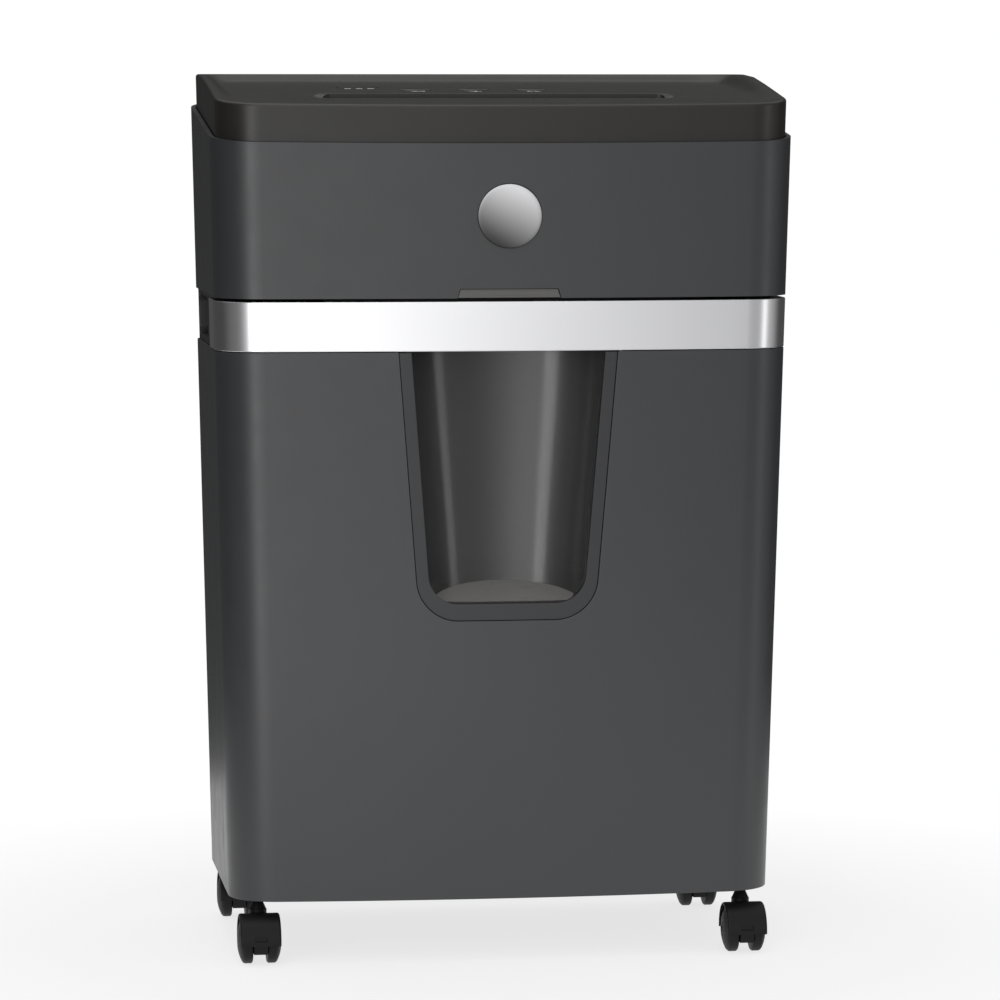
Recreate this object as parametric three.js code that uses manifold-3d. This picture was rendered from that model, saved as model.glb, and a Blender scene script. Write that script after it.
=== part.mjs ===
// A deskside paper shredder on castors: a cutting head on a tapered cabinet with a pull-out bin.
// Millimetres, +Z up, front face towards -Y. The floor is z = 0.
import * as THREE from "three";
import { mergeVertices } from "three/addons/utils/BufferGeometryUtils.js";
import Module from "manifold-3d";

const wasm = await Module();
wasm.setup();

// Casing outline, at the level of the seam under the top cover.
const halfWidth = 195;
const depth = 240;
const bowRadius = 1770; // the front face is slightly curved
const frontCorner = 35;
const rearCorner = 38;
const sideDraft = 0.0228; // each side leans in by this much per mm downwards
const frontDraft = 0.0409;
const wall = 3;
const gap = 0.4; // between pieces that seat on each other
const arcSteps = 3; // each arc has twice as many sides

// Levels above the floor.
const cabinetBottom = 42;
const cabinetTop = 410;
const bandTop = 443.5;
const headBottom = 445.5;
const seamLevel = 547.5; // at the front; the seam climbs to the rear
const topSlope = 0.113;
const coverRise = 23.7;
const topLevel = 593.5;
const panelLevel = 572.8; // of the dished panel's plane at the front
const panelSlope = 0.0695;
const beyond = 60; // how far cutting tools reach past the casing

// Drawer.
const returnDepth = 86; // how far the drawer front wraps along the sides
const tubInset = 12;
const tubWall = 2.5;
const tubFloor = 64;
const tubTop = 400;
const scoopTop = 424;
const windowTopHalf = 72.8;
const windowTaper = 0.0795;
const windowBottom = 231;
const windowCorner = 28;
const bezelSide = 8;
const bezelFoot = 11;
const bezelSink = 0.7;
const tongueWall = 1.6; // of the band's tongue, which stands behind the shells
const bezelDeep = wall + gap + tongueWall;
const nicheDepth = 43;
const nicheWall = 2.2;
const nicheEdge = 0.6; // how far the niche's hollow is wider than the bezel's opening

// Cutting block.
const slotCentre = 74;
const slotHalfLength = 116.5;
const slotWidth = 12;
const throatWall = 2;
const plateHalfGap = slotHalfLength + throatWall + 2; // from the middle to the inner face of each side plate
const plateThickness = 3;
const plateTop = 530;
const blockFront = 30;
const blockRear = 118;
const cutterLevel = 486;
const journalRadius = 7;
const coreRadius = 11;
const discRadius = 18.5;
const discWidth = 8;
const discCount = 10; // on the rear cutter; the front one has one fewer
const discMargin = 13; // from a slot end in to the middle of the last disc
const discPitch = (2 * (slotHalfLength - discMargin)) / (discCount - 1);
const runningGap = 0.3;
const bushWall = 2.7;
const toothModule = { cutter: 2, drive: 2.5, second: 2.25, first: 1.6 };
const teeth = { cutter: 16, drive: 24, drivePinion: 10, second: 28, secondPinion: 10, first: 32, motor: 9 };
const pinRadius = 4;

// Castors.
const castorX = 164.6;
const castorFrontY = 48;
const castorRearY = 206;
const wheelRadius = 15.5;
const wheelWidth = 9.6;
const trail = 11;
const stemRadius = 4;
const webHalf = 4.6;

// Colours.
const plastic = (color, roughness) => new THREE.MeshStandardMaterial({ color, roughness, metalness: 0 });
const metal = (color, roughness) => new THREE.MeshStandardMaterial({ color, roughness, metalness: 1 });
const greyShell = plastic(0x4b4d50, 0.5);
const blackShell = plastic(0x3d3b39, 0.45);
const blackPart = plastic(0x1d1d1f, 0.55);
const smoked = new THREE.MeshStandardMaterial({ color: 0x55585c, roughness: 0.1, transparent: true, opacity: 0.4 });
const silver = metal(0xd9dadc, 0.35);
const steel = metal(0x9a9ca0, 0.4);
const brass = metal(0xb08d4f, 0.4);
const board = plastic(0x1f5a38, 0.6);
const whitePlastic = plastic(0xe4e2dc, 0.5);

// --- Solids -------------------------------------------------------------------------------------

function solid(geometry) {
  const bare = geometry.index ? geometry.toNonIndexed() : geometry.clone();
  bare.deleteAttribute("normal");
  bare.deleteAttribute("uv");
  const merged = mergeVertices(bare, 1e-4);
  const mesh = new wasm.Mesh({
    numProp: 3,
    vertProperties: merged.attributes.position.array,
    triVerts: new Uint32Array(merged.index.array),
  });
  return new wasm.Manifold(mesh);
}

const cut = (body, ...tools) => tools.reduce((left, tool) => left.subtract(tool), body);
const join = (body, ...others) => others.reduce((sum, other) => sum.add(other), body);
const common = (body, ...others) => others.reduce((rest, other) => rest.intersect(other), body);

function piece(name, body, material) {
  const mesh = body.getMesh();
  const geometry = new THREE.BufferGeometry();
  geometry.setAttribute("position", new THREE.BufferAttribute(Float32Array.from(mesh.vertProperties), 3));
  geometry.setIndex(Array.from(mesh.triVerts));
  geometry.computeVertexNormals();
  const made = new THREE.Mesh(geometry, material);
  made.name = name;
  return made;
}

function groupOf(...members) {
  const group = new THREE.Group();
  group.add(...members);
  return group;
}

function block(x0, x1, y0, y1, z0, z1) {
  const box = new THREE.BoxGeometry(x1 - x0, y1 - y0, z1 - z0);
  box.translate((x0 + x1) / 2, (y0 + y1) / 2, (z0 + z1) / 2);
  return solid(box);
}

// A flat outline drawn in (y, z) and drawn out along X.
function sideProfile(shape, x0, x1, curveSegments = arcSteps) {
  const body = new THREE.ExtrudeGeometry(shape, { depth: x1 - x0, bevelEnabled: false, curveSegments });
  body.applyMatrix4(new THREE.Matrix4().makeBasis(
    new THREE.Vector3(0, 1, 0),
    new THREE.Vector3(0, 0, 1),
    new THREE.Vector3(1, 0, 0),
  ));
  body.translate(x0, 0, 0);
  return solid(body);
}

// A flat outline drawn in (x, z) and drawn out along Y.
function frontProfile(shape, y0, y1) {
  const body = new THREE.ExtrudeGeometry(shape, { depth: y1 - y0, bevelEnabled: false, curveSegments: arcSteps });
  body.rotateX(Math.PI / 2);
  body.translate(0, y1, 0);
  return solid(body);
}

const polygon = (points) => new THREE.Shape(points.map(([x, y]) => new THREE.Vector2(x, y)));

// A turned piece about a line along X through (y, z); the profile is [radius, x] pairs.
function turnedX(profile, y, z, segments) {
  const points = profile.map(([radius, x]) => new THREE.Vector2(radius, x));
  const body = new THREE.LatheGeometry(points, segments);
  body.rotateZ(-Math.PI / 2);
  body.translate(0, y, z);
  return upright(body);
}

// The same about a vertical line; the profile is [radius, z] pairs.
function turnedZ(profile, x, y, segments) {
  const points = profile.map(([radius, z]) => new THREE.Vector2(radius, z));
  const body = new THREE.LatheGeometry(points, segments);
  body.rotateX(Math.PI / 2);
  body.translate(x, y, 0);
  return upright(body);
}

// A lathe turns its faces inwards when its profile runs the other way, so those are turned back.
function upright(geometry) {
  const index = geometry.index.array;
  const position = geometry.attributes.position;
  const [a, b, c] = [new THREE.Vector3(), new THREE.Vector3(), new THREE.Vector3()];
  let volume = 0;
  for (let i = 0; i < index.length; i += 3) {
    a.fromBufferAttribute(position, index[i]);
    b.fromBufferAttribute(position, index[i + 1]);
    c.fromBufferAttribute(position, index[i + 2]);
    volume += a.dot(b.cross(c));
  }
  if (volume < 0) {
    for (let i = 0; i < index.length; i += 3) {
      [index[i], index[i + 1]] = [index[i + 1], index[i]];
    }
  }
  return solid(geometry);
}

const rodX = (radius, x0, x1, y, z, segments = 12) =>
  turnedX([[0, x0], [radius, x0], [radius, x1], [0, x1]], y, z, segments);

const rodZ = (radius, z0, z1, x, y, segments = 12) =>
  turnedZ([[0, z0], [radius, z0], [radius, z1], [0, z1]], x, y, segments);

function ovalZ(radiusX, radiusY, z0, z1, x = 0, y = 0, segments = 16) {
  const body = new THREE.CylinderGeometry(1, 1, z1 - z0, segments);
  body.rotateX(Math.PI / 2);
  body.scale(radiusX, radiusY, 1);
  body.translate(x, y, (z0 + z1) / 2);
  return solid(body);
}

// --- Casing shape -------------------------------------------------------------------------------

// Plan outline: a bowed front, rounded corners and a flat rear, moved inwards by inset.
function outline(inset) {
  const bow = bowRadius - inset;
  const front = frontCorner - inset;
  const rear = rearCorner - inset;
  const frontX = halfWidth - frontCorner;
  const frontY = bowRadius - Math.sqrt((bowRadius - frontCorner) ** 2 - frontX ** 2);
  const lean = Math.asin(frontX / (bowRadius - frontCorner));
  const rearX = halfWidth - rearCorner;
  const rearY = depth - rearCorner;
  const down = -Math.PI / 2;
  const shape = new THREE.Shape();
  shape.absarc(0, bowRadius, bow, down - lean, down + lean, false);
  shape.absarc(frontX, frontY, front, down + lean, 0, false);
  shape.absarc(rearX, rearY, rear, 0, Math.PI / 2, false);
  shape.absarc(-rearX, rearY, rear, Math.PI / 2, Math.PI, false);
  shape.absarc(-frontX, frontY, front, Math.PI, 1.5 * Math.PI - lean, false);
  return shape;
}

// Draws every point in towards the middle and the rear, the more the lower it is.
function taper(geometry) {
  const position = geometry.attributes.position;
  for (let i = 0; i < position.count; i += 1) {
    const drop = seamLevel - position.getZ(i);
    const narrow = 1 - (sideDraft * drop) / halfWidth;
    const shallow = 1 - (frontDraft * drop) / depth;
    position.setX(i, position.getX(i) * narrow);
    position.setY(i, depth - (depth - position.getY(i)) * shallow);
  }
  return geometry;
}

function casing(inset, low, high) {
  const settings = { depth: high - low, bevelEnabled: false, curveSegments: arcSteps };
  const body = new THREE.ExtrudeGeometry(outline(inset), settings);
  body.translate(0, 0, low);
  return solid(taper(body));
}

const casingWall = (outer, inner, low, high) => cut(casing(outer, low, high), casing(inner, low - 1, high + 1));

// The slab between two planes that climb to the rear; low and high are their levels at the front.
function slopedSlab(low, high, slope) {
  const back = depth + beyond;
  return sideProfile(polygon([
    [-beyond, low - beyond * slope],
    [back, low + back * slope],
    [back, high + back * slope],
    [-beyond, high - beyond * slope],
  ]), -halfWidth - beyond, halfWidth + beyond);
}

const aheadOf = (y) => block(-halfWidth - beyond, halfWidth + beyond, -beyond, y, 0, topLevel + beyond);
const behind = (y) => block(-halfWidth - beyond, halfWidth + beyond, y, depth + beyond, 0, topLevel + beyond);

// --- Head casing --------------------------------------------------------------------------------

const coverInset = wall + 0.8;
const coverWall = 2.5;
const coverSkirt = 6;
const rimWidth = 9;
const notchHalf = 35;
const notchHeight = 6.3;
const notchSlant = 2.3;
const badgeRadius = 21.2;
const badgeLevel = 499.7;
const badgeThickness = 1.6;
const badgeSink = 1.2; // the pocket's depth
const ventCount = 7;
const ventPitch = 10;
const ventHalfWidth = 2;
const ventLow = 468;
const ventHigh = 502;
const ventCentreX = 75;
const switchX = -130;
const switchLevel = 484;
const switchHalfWidth = 13;
const switchHalfHeight = 9;
const glandX = -130;
const glandLevel = 462;
const glandRadius = 8;

function notchShape(grow) {
  return polygon([
    [-notchHalf - grow, headBottom - 1],
    [notchHalf + grow, headBottom - 1],
    [notchHalf - notchSlant + grow, headBottom + notchHeight + grow],
    [-notchHalf + notchSlant - grow, headBottom + notchHeight + grow],
  ]);
}

function headShell() {
  const walls = casingWall(0, wall, headBottom, topLevel + beyond);
  const above = slopedSlab(seamLevel, seamLevel + 4 * beyond, topSlope);
  const vents = [];
  for (let i = 0; i < ventCount; i += 1) {
    const x = ventCentreX + (i - (ventCount - 1) / 2) * ventPitch;
    vents.push(block(x - ventHalfWidth, x + ventHalfWidth, depth - 2 * wall, depth + 1, ventLow, ventHigh));
  }
  const switchHole = block(
    switchX - switchHalfWidth - gap, switchX + switchHalfWidth + gap, depth - 2 * wall, depth + 1,
    switchLevel - switchHalfHeight - gap, switchLevel + switchHalfHeight + gap,
  );
  const glandHole = new THREE.CylinderGeometry(glandRadius + gap, glandRadius + gap, 4 * wall, 16);
  glandHole.translate(glandX, depth - wall, glandLevel);
  return cut(
    walls, above, frontProfile(notchShape(0), -1, 4 * wall),
    badgePlug(badgeRadius + gap, badgeSink, -beyond), ...vents, switchHole, solid(glandHole),
  );
}

// A round plug square to the leaning front face, between two depths behind that face.
function badgePlug(radius, deep, shallow) {
  const disc = new THREE.CylinderGeometry(radius, radius, deep - shallow, 32);
  disc.translate(0, (deep + shallow) / 2, 0);
  disc.rotateX(-Math.atan(frontDraft));
  disc.translate(0, frontDraft * (seamLevel - badgeLevel), badgeLevel);
  return solid(disc);
}

const badgeDisc = () => badgePlug(badgeRadius, badgeSink - gap, badgeSink - gap - badgeThickness);

function fingerScoop() {
  const tray = common(frontProfile(notchShape(-gap), -1, 5 * wall), casing(0.9, headBottom + gap, seamLevel));
  const hollow = frontProfile(notchShape(-gap - 1.2), -1, 3 * wall);
  return cut(tray, common(hollow, casing(0, headBottom + 1.6, seamLevel)), casing(4 * wall, headBottom - 1, seamLevel));
}

const panelHeight = (y) => panelLevel + panelSlope * y;

// Frames the panel's own plane: z = 0 is its upper face at the given point.
function onPanel(x, y) {
  const tilt = new THREE.Matrix4().makeRotationX(Math.atan(panelSlope));
  return new THREE.Matrix4().makeTranslation(x, y, panelHeight(y)).multiply(tilt);
}

const placed = (body, matrix) => body.transform(matrix.elements.slice());

const buttonCentreX = -7;
const buttonRow = 137;
const buttonPitch = 40;
const buttonRadiusX = 11;
const buttonRadiusY = 6;
const buttonProud = 0.8;
const buttonTravel = 1;
const flangeWidth = 2;
const lensX = -84;
const lensRow = 160;
const lensHalfX = 14;
const lensHalfY = 4.5;
const controls = onPanel(buttonCentreX, buttonRow);
const lensPlace = onPanel(lensX, lensRow);

function topCover() {
  const body = common(
    casing(coverInset, seamLevel - coverSkirt - 1, topLevel),
    slopedSlab(seamLevel - coverSkirt, seamLevel + coverRise, topSlope),
  );
  const dish = common(
    casing(coverInset + rimWidth, seamLevel, topLevel + 1),
    slopedSlab(panelLevel, panelLevel + beyond, panelSlope),
  );
  const hollow = common(
    casing(coverInset + coverWall, seamLevel - 2 * coverSkirt, topLevel - coverWall),
    slopedSlab(seamLevel - beyond, seamLevel + coverRise - coverWall, topSlope),
    slopedSlab(panelLevel - 2 * beyond, panelLevel - coverWall, panelSlope),
  );
  const slot = block(
    -slotHalfLength, slotHalfLength, slotCentre - slotWidth / 2, slotCentre + slotWidth / 2, seamLevel, topLevel,
  );
  const holes = [-1, 0, 1].map((side) => placed(ovalZ(
    buttonRadiusX + gap, buttonRadiusY + gap, -beyond / 4, beyond / 4, side * buttonPitch,
  ), controls));
  const lensHole = placed(block(
    -lensHalfX - gap, lensHalfX + gap, -lensHalfY - gap, lensHalfY + gap, -beyond / 4, beyond / 4,
  ), lensPlace);
  return cut(body, dish, hollow, slot, ...holes, lensHole);
}

function pushButton(x) {
  const cap = ovalZ(buttonRadiusX, buttonRadiusY, -coverWall - 1, buttonProud, x);
  const flange = ovalZ(
    buttonRadiusX + flangeWidth, buttonRadiusY + flangeWidth, -coverWall - 1.5, -coverWall - 0.5, x,
  );
  const post = block(x - 2, x + 2, -2, 2, -coverWall - postLength, -coverWall - 1);
  return placed(join(cap, flange, post), controls);
}

function indicatorLens() {
  const face = block(-lensHalfX, lensHalfX, -lensHalfY, lensHalfY, -coverWall - 1, 0.2);
  const lip = block(-lensHalfX - 1.5, lensHalfX + 1.5, -lensHalfY - 1.5, lensHalfY + 1.5, -coverWall - 1.5, -coverWall - gap);
  return placed(join(face, lip), lensPlace);
}

const postLength = 4; // of a button's post, below the cover's wall
const boardThickness = 1.6;
const switchHeight = 1;
const switchHalf = 3;
const chip = { x0: -40, x1: -24, y0: 12, y1: 26, height: 1.5 };
const boardEdge = { left: lensX - buttonCentreX - 23, right: buttonPitch + 16, front: -12, rear: 40 };

// The board lies under the buttons, with a push switch below each post.
function controlBoard() {
  const top = -coverWall - postLength - buttonTravel - switchHeight - 0.3;
  const plate = block(boardEdge.left, boardEdge.right, boardEdge.front, boardEdge.rear, top - boardThickness, top);
  const switches = [-1, 0, 1].map((side) => block(
    side * buttonPitch - switchHalf, side * buttonPitch + switchHalf, -switchHalf, switchHalf,
    top - 0.5, top + switchHeight,
  ));
  const controller = block(chip.x0, chip.x1, chip.y0, chip.y1, top - 0.5, top + chip.height);
  return placed(join(plate, ...switches, controller), controls);
}

const chuteFront = 34;
const chuteRear = 116;
const chuteWall = 2.5;
const chuteBottom = scoopTop + 4;

function headBase() {
  const plate = casing(wall + gap, headBottom, headBottom + wall);
  const skirt = block(
    -plateHalfGap, plateHalfGap, chuteFront, chuteRear, chuteBottom, headBottom + wall,
  );
  const opening = block(
    -plateHalfGap + chuteWall, plateHalfGap - chuteWall, chuteFront + chuteWall, chuteRear - chuteWall,
    chuteBottom - 1, headBottom + wall + 1,
  );
  const notch = frontProfile(notchShape(gap), -1, 7 * wall);
  return cut(join(plate, skirt), opening, notch);
}

const switchDepth = 14;
const rockerPocket = 10;
const frameSide = 3;
const frameEnd = 2;
const rockerDepth = 6;
const rockerSink = 0.9; // of the rocker's raised ends, below the rear face
const rockerDip = 1.5; // of its middle

function rockerFrame() {
  const face = block(
    switchX - switchHalfWidth, switchX + switchHalfWidth, depth - switchDepth, depth - gap / 2,
    switchLevel - switchHalfHeight, switchLevel + switchHalfHeight,
  );
  const window = block(
    switchX - switchHalfWidth + frameSide, switchX + switchHalfWidth - frameSide, depth - rockerPocket, depth + 1,
    switchLevel - switchHalfHeight + frameEnd, switchLevel + switchHalfHeight - frameEnd,
  );
  return cut(face, window);
}

function rocker() {
  const side = switchHalfWidth - frameSide - gap;
  const tall = switchHalfHeight - frameEnd - 2 * gap;
  const outlineYZ = polygon([
    [depth - rockerDepth, switchLevel - tall + 1],
    [depth - rockerSink, switchLevel - tall],
    [depth - rockerDip, switchLevel],
    [depth - rockerSink, switchLevel + tall],
    [depth - rockerDepth, switchLevel + tall - 1],
  ]);
  return sideProfile(outlineYZ, switchX - side, switchX + side);
}

const cordRadius = 3.6;
const glandFlange = 2;
const glandDepth = 9;

function cordGland() {
  const flange = glandRadius + glandFlange;
  const profile = [[cordRadius, -glandDepth], [flange, -glandDepth], [flange, -wall - gap],
    [glandRadius, -wall - gap], [glandRadius, -gap], [cordRadius, -gap], [cordRadius, -glandDepth]];
  const body = new THREE.LatheGeometry(profile.map(([r, y]) => new THREE.Vector2(r, y)), 16);
  body.translate(glandX, depth, glandLevel);
  return upright(body);
}

// --- Cutting block ------------------------------------------------------------------------------

const cutterGap = toothModule.cutter * teeth.cutter;
const frontAxis = { y: slotCentre - cutterGap / 2, z: cutterLevel };
const rearAxis = { y: slotCentre + cutterGap / 2, z: cutterLevel };
const away = (from, distance, degrees) => ({
  y: from.y + distance * Math.cos(THREE.MathUtils.degToRad(degrees)),
  z: from.z + distance * Math.sin(THREE.MathUtils.degToRad(degrees)),
});
const meshDistance = (modulus, a, b) => (modulus * (a + b)) / 2;
const driveAngle = 20;
const secondAngle = -10;
const firstAngle = -25;
const secondAxis = away(rearAxis, meshDistance(toothModule.drive, teeth.drive, teeth.drivePinion), driveAngle);
const firstAxis = away(secondAxis, meshDistance(toothModule.second, teeth.second, teeth.secondPinion), secondAngle);
const motorAxis = away(firstAxis, meshDistance(toothModule.first, teeth.first, teeth.motor), firstAngle);

// Gear planes, outside the right side plate.
const plateOuter = plateHalfGap + plateThickness;
const cutterGears = [plateOuter + 2, plateOuter + 12];
const drivePlane = [plateOuter + 13.5, plateOuter + 23.5];
const secondPlane = [plateOuter + 25, plateOuter + 31];
const firstPlane = [plateOuter + 32.5, plateOuter + 37.5];
const gearPlateX = firstPlane[1] + 3;
const gearPlateThickness = 2;
const gearPlateEdge = { front: 84, rear: 226, foot: 453 };
const gearPlatePosts = [{ y: 95, z: 525 }, { y: 218, z: 518 }, { y: 140, z: 459 }];
const plateFlange = 11;
const bushFlange = 1.2; // how far a bush stands inside its plate
const addendum = 0.8;
const dedendum = 1.05;
const toothShare = { root: 0.3, tip: 0.11 }; // half widths as a share of one tooth's turn

// A toothed disc about a line along X; phase is the angle of a tooth's middle, from +Y towards +Z.
function gear(count, modulus, bore, [x0, x1], axis, phase) {
  const pitch = (modulus * count) / 2;
  const root = pitch - dedendum * modulus;
  const tip = pitch + addendum * modulus;
  const turn = (2 * Math.PI) / count;
  const corners = [];
  for (let i = 0; i < count; i += 1) {
    const middle = phase + i * turn;
    for (const [radius, share] of [[root, -toothShare.root], [tip, -toothShare.tip],
      [tip, toothShare.tip], [root, toothShare.root]]) {
      const angle = middle + share * turn;
      corners.push([axis.y + radius * Math.cos(angle), axis.z + radius * Math.sin(angle)]);
    }
  }
  const shape = polygon(corners);
  if (bore > 0) {
    const hole = new THREE.Path();
    hole.absarc(axis.y, axis.z, bore, 0, 2 * Math.PI, true);
    shape.holes.push(hole);
  }
  return sideProfile(shape, x0, x1, 6);
}

// The phase that puts a gap of the second gear against a tooth of the first.
function meshPhase(from, fromTeeth, fromPhase, to, toTeeth) {
  const direction = Math.atan2(to.z - from.z, to.y - from.y);
  const place = ((direction - fromPhase) * fromTeeth) / (2 * Math.PI);
  return direction + Math.PI - ((2 * Math.PI) / toTeeth) * (0.5 - place);
}

const frontPhase = meshPhase(rearAxis, teeth.cutter, 0, frontAxis, teeth.cutter);
const secondPinionPhase = meshPhase(rearAxis, teeth.drive, 0, secondAxis, teeth.drivePinion);
const firstPinionPhase = meshPhase(secondAxis, teeth.second, secondPinionPhase, firstAxis, teeth.secondPinion);
const motorPhase = meshPhase(firstAxis, teeth.first, firstPinionPhase, motorAxis, teeth.motor);

function cutter(axis, count, end) {
  const profile = [[0, -plateOuter - 2], [journalRadius, -plateOuter - 2], [journalRadius, -plateHalfGap + 2],
    [coreRadius, -plateHalfGap + 2]];
  for (let i = 0; i < count; i += 1) {
    const middle = (i - (count - 1) / 2) * discPitch;
    profile.push([coreRadius, middle - discWidth / 2], [discRadius, middle - discWidth / 2]);
    profile.push([discRadius, middle + discWidth / 2], [coreRadius, middle + discWidth / 2]);
  }
  profile.push([coreRadius, plateHalfGap - 2], [journalRadius, plateHalfGap - 2], [journalRadius, end], [0, end]);
  return turnedX(profile, axis.y, axis.z, 12);
}

function bush(axis, side) {
  const inner = side * (plateHalfGap - bushFlange);
  const outer = side * (plateOuter + 1);
  const bore = journalRadius + runningGap;
  return turnedX([[bore, inner], [bore + bushWall, inner], [bore + bushWall, outer], [bore, outer], [bore, inner]],
    axis.y, axis.z, 12);
}

function sidePlate(side, rear) {
  const [x0, x1] = side > 0 ? [plateHalfGap, plateOuter] : [-plateOuter, -plateHalfGap];
  const foot = side > 0 ? [x1 - 1, x1 + plateFlange] : [x0 - plateFlange, x0 + 1];
  const low = headBottom + wall + gap;
  const web = block(x0, x1, blockFront, rear, low, plateTop);
  const flange = block(foot[0], foot[1], blockFront, rear, low, low + 2);
  const seat = journalRadius + runningGap + bushWall + runningGap;
  const holes = [frontAxis, rearAxis].map((axis) => rodX(seat, x0 - 1, x1 + 1, axis.y, axis.z));
  return cut(join(web, flange), ...holes);
}

function rightPlate() {
  const holes = [secondAxis, firstAxis, motorAxis].map((axis) => rodX(
    pinRadius + runningGap, plateHalfGap - 1, plateOuter + 1, axis.y, axis.z,
  ));
  return cut(sidePlate(1, gearPlateEdge.rear + 6), ...holes);
}

function gearPlate() {
  const { front, rear, foot } = gearPlateEdge;
  const plate = block(gearPlateX, gearPlateX + gearPlateThickness, front, rear, foot, plateTop);
  const pins = [secondAxis, firstAxis].map((axis) => rodX(
    pinRadius, plateHalfGap + 0.5, gearPlateX + 1, axis.y, axis.z,
  ));
  const posts = gearPlatePosts.map(({ y, z }) => rodX(pinRadius, plateOuter + gap, gearPlateX + 1, y, z));
  const motorHole = rodX(pinRadius + runningGap, gearPlateX - 1, gearPlateX + 5, motorAxis.y, motorAxis.z);
  return cut(join(plate, ...pins, ...posts), motorHole);
}

const gearBore = journalRadius + runningGap;

const secondGear = () => join(
  gear(teeth.drivePinion, toothModule.drive, pinRadius + runningGap, drivePlane, secondAxis, secondPinionPhase),
  gear(teeth.second, toothModule.second, pinRadius + runningGap, secondPlane, secondAxis, secondPinionPhase),
  hub(pinRadius + runningGap, 8, drivePlane[1] - 1, secondPlane[0] + 1, secondAxis),
);

const firstGear = () => join(
  gear(teeth.secondPinion, toothModule.second, pinRadius + runningGap, secondPlane, firstAxis, firstPinionPhase),
  gear(teeth.first, toothModule.first, pinRadius + runningGap, firstPlane, firstAxis, firstPinionPhase),
  hub(pinRadius + runningGap, 7.5, secondPlane[1] - 1, firstPlane[0] + 1, firstAxis),
);

const hub = (bore, radius, x0, x1, axis) => turnedX(
  [[bore, x0], [radius, x0], [radius, x1], [bore, x1], [bore, x0]], axis.y, axis.z, 16,
);

const motorRadius = 27;
const motorEnd = plateHalfGap - gap;
const motorLeft = motorEnd - 86.1;
const motorWall = 3;
const armatureRadius = 15;
const armatureRoom = 12; // from each end of the case to the armature
const fanRadius = 22;
const fanWidth = 3;
const fanReach = 15; // from the case's left end to the fan

function motorCase() {
  const bore = pinRadius + 1;
  const inner = armatureRadius + 2;
  return turnedX([
    [bore, motorLeft], [motorRadius, motorLeft], [motorRadius, motorEnd], [bore, motorEnd],
    [bore, motorEnd - motorWall], [inner, motorEnd - motorWall], [inner, motorLeft + motorWall],
    [bore, motorLeft + motorWall], [bore, motorLeft],
  ], motorAxis.y, motorAxis.z, 20);
}

function motorRotor() {
  const fan = [motorLeft - fanReach - fanWidth, motorLeft - fanReach];
  const armature = [motorLeft + armatureRoom, motorEnd - armatureRoom];
  const shaft = turnedX([
    [0, fan[0]], [fanRadius, fan[0]], [fanRadius, fan[1]], [pinRadius, fan[1]],
    [pinRadius, armature[0]], [armatureRadius, armature[0]], [armatureRadius, armature[1]],
    [pinRadius, armature[1]], [pinRadius, gearPlateX + 1], [0, gearPlateX + 1],
  ], motorAxis.y, motorAxis.z, 16);
  return join(shaft, gear(teeth.motor, toothModule.first, 0, firstPlane, motorAxis, motorPhase));
}

const stripperBar = { room: 1.8, thickness: 4, low: cutterLevel - 14, high: cutterLevel + 10 };
const fingerRoom = 1.5; // from a finger's tip to the cutter's core
const fingerHalf = 3;

// A bar behind or ahead of a cutter, with fingers that reach between its discs.
function stripper(axis, side, count) {
  const barNear = axis.y + side * (discRadius + stripperBar.room);
  const barFar = barNear + side * stripperBar.thickness;
  const tip = axis.y + side * (coreRadius + fingerRoom);
  const [y0, y1] = [Math.min(barNear, barFar), Math.max(barNear, barFar)];
  const [f0, f1] = [Math.min(tip, barFar), Math.max(tip, barFar)];
  const bar = block(-plateHalfGap + gap, plateHalfGap - gap, y0, y1, stripperBar.low, stripperBar.high);
  const fingers = [];
  for (let i = 0; i + 1 < count; i += 1) {
    const middle = (i + 1 - count / 2) * discPitch;
    fingers.push(block(
      middle - fingerHalf, middle + fingerHalf, f0, f1, cutterLevel - fingerHalf, cutterLevel + fingerHalf,
    ));
  }
  return join(bar, ...fingers);
}

const tieRadius = 4;
const tieRod = (y) => rodX(tieRadius, -plateHalfGap + gap, plateHalfGap - gap, y, plateTop - 2 * tieRadius);

// --- Paper throat -------------------------------------------------------------------------------

const throatTop = panelHeight(slotCentre - slotWidth) - coverWall - gap;
const throatBottom = cutterLevel + discRadius + 3.5;
const throatFoot = 5;
const leverX = -22;
const leverAxis = { y: slotCentre + 18, z: 552 };
const leverHalf = 2.5;
const leverRoom = 0.9;
const leverPin = 1.8;
const leverDrop = 30; // how far the guide's notch reaches below the lever's axis
const earThickness = 2;

function throatProfile(grow, low, high) {
  const top = slotWidth / 2 + grow;
  const foot = throatFoot / 2 + grow;
  return polygon([[slotCentre - foot, low], [slotCentre + foot, low], [slotCentre + top, high], [slotCentre - top, high]]);
}

function throatGuide() {
  const outer = sideProfile(
    throatProfile(throatWall, throatBottom, throatTop), -slotHalfLength - throatWall, slotHalfLength + throatWall,
  );
  const inner = sideProfile(throatProfile(0, throatBottom - 1, throatTop + 1), -slotHalfLength, slotHalfLength);
  const ears = [-1, 1].map((side) => {
    const x = leverX + side * (leverHalf + 2.5);
    const [x0, x1] = [x - earThickness / 2, x + earThickness / 2];
    return block(x0, x1, slotCentre + 4, leverAxis.y + 5, leverAxis.z - 7, leverAxis.z + 6);
  });
  const pivot = rodX(leverPin + runningGap, leverX - 10, leverX + 10, leverAxis.y, leverAxis.z);
  const notch = block(
    leverX - leverHalf - leverRoom, leverX + leverHalf + leverRoom, slotCentre, leverAxis.y + 6,
    leverAxis.z - leverDrop, leverAxis.z + 8,
  );
  return cut(join(outer, ...ears), inner, notch, pivot);
}

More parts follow.
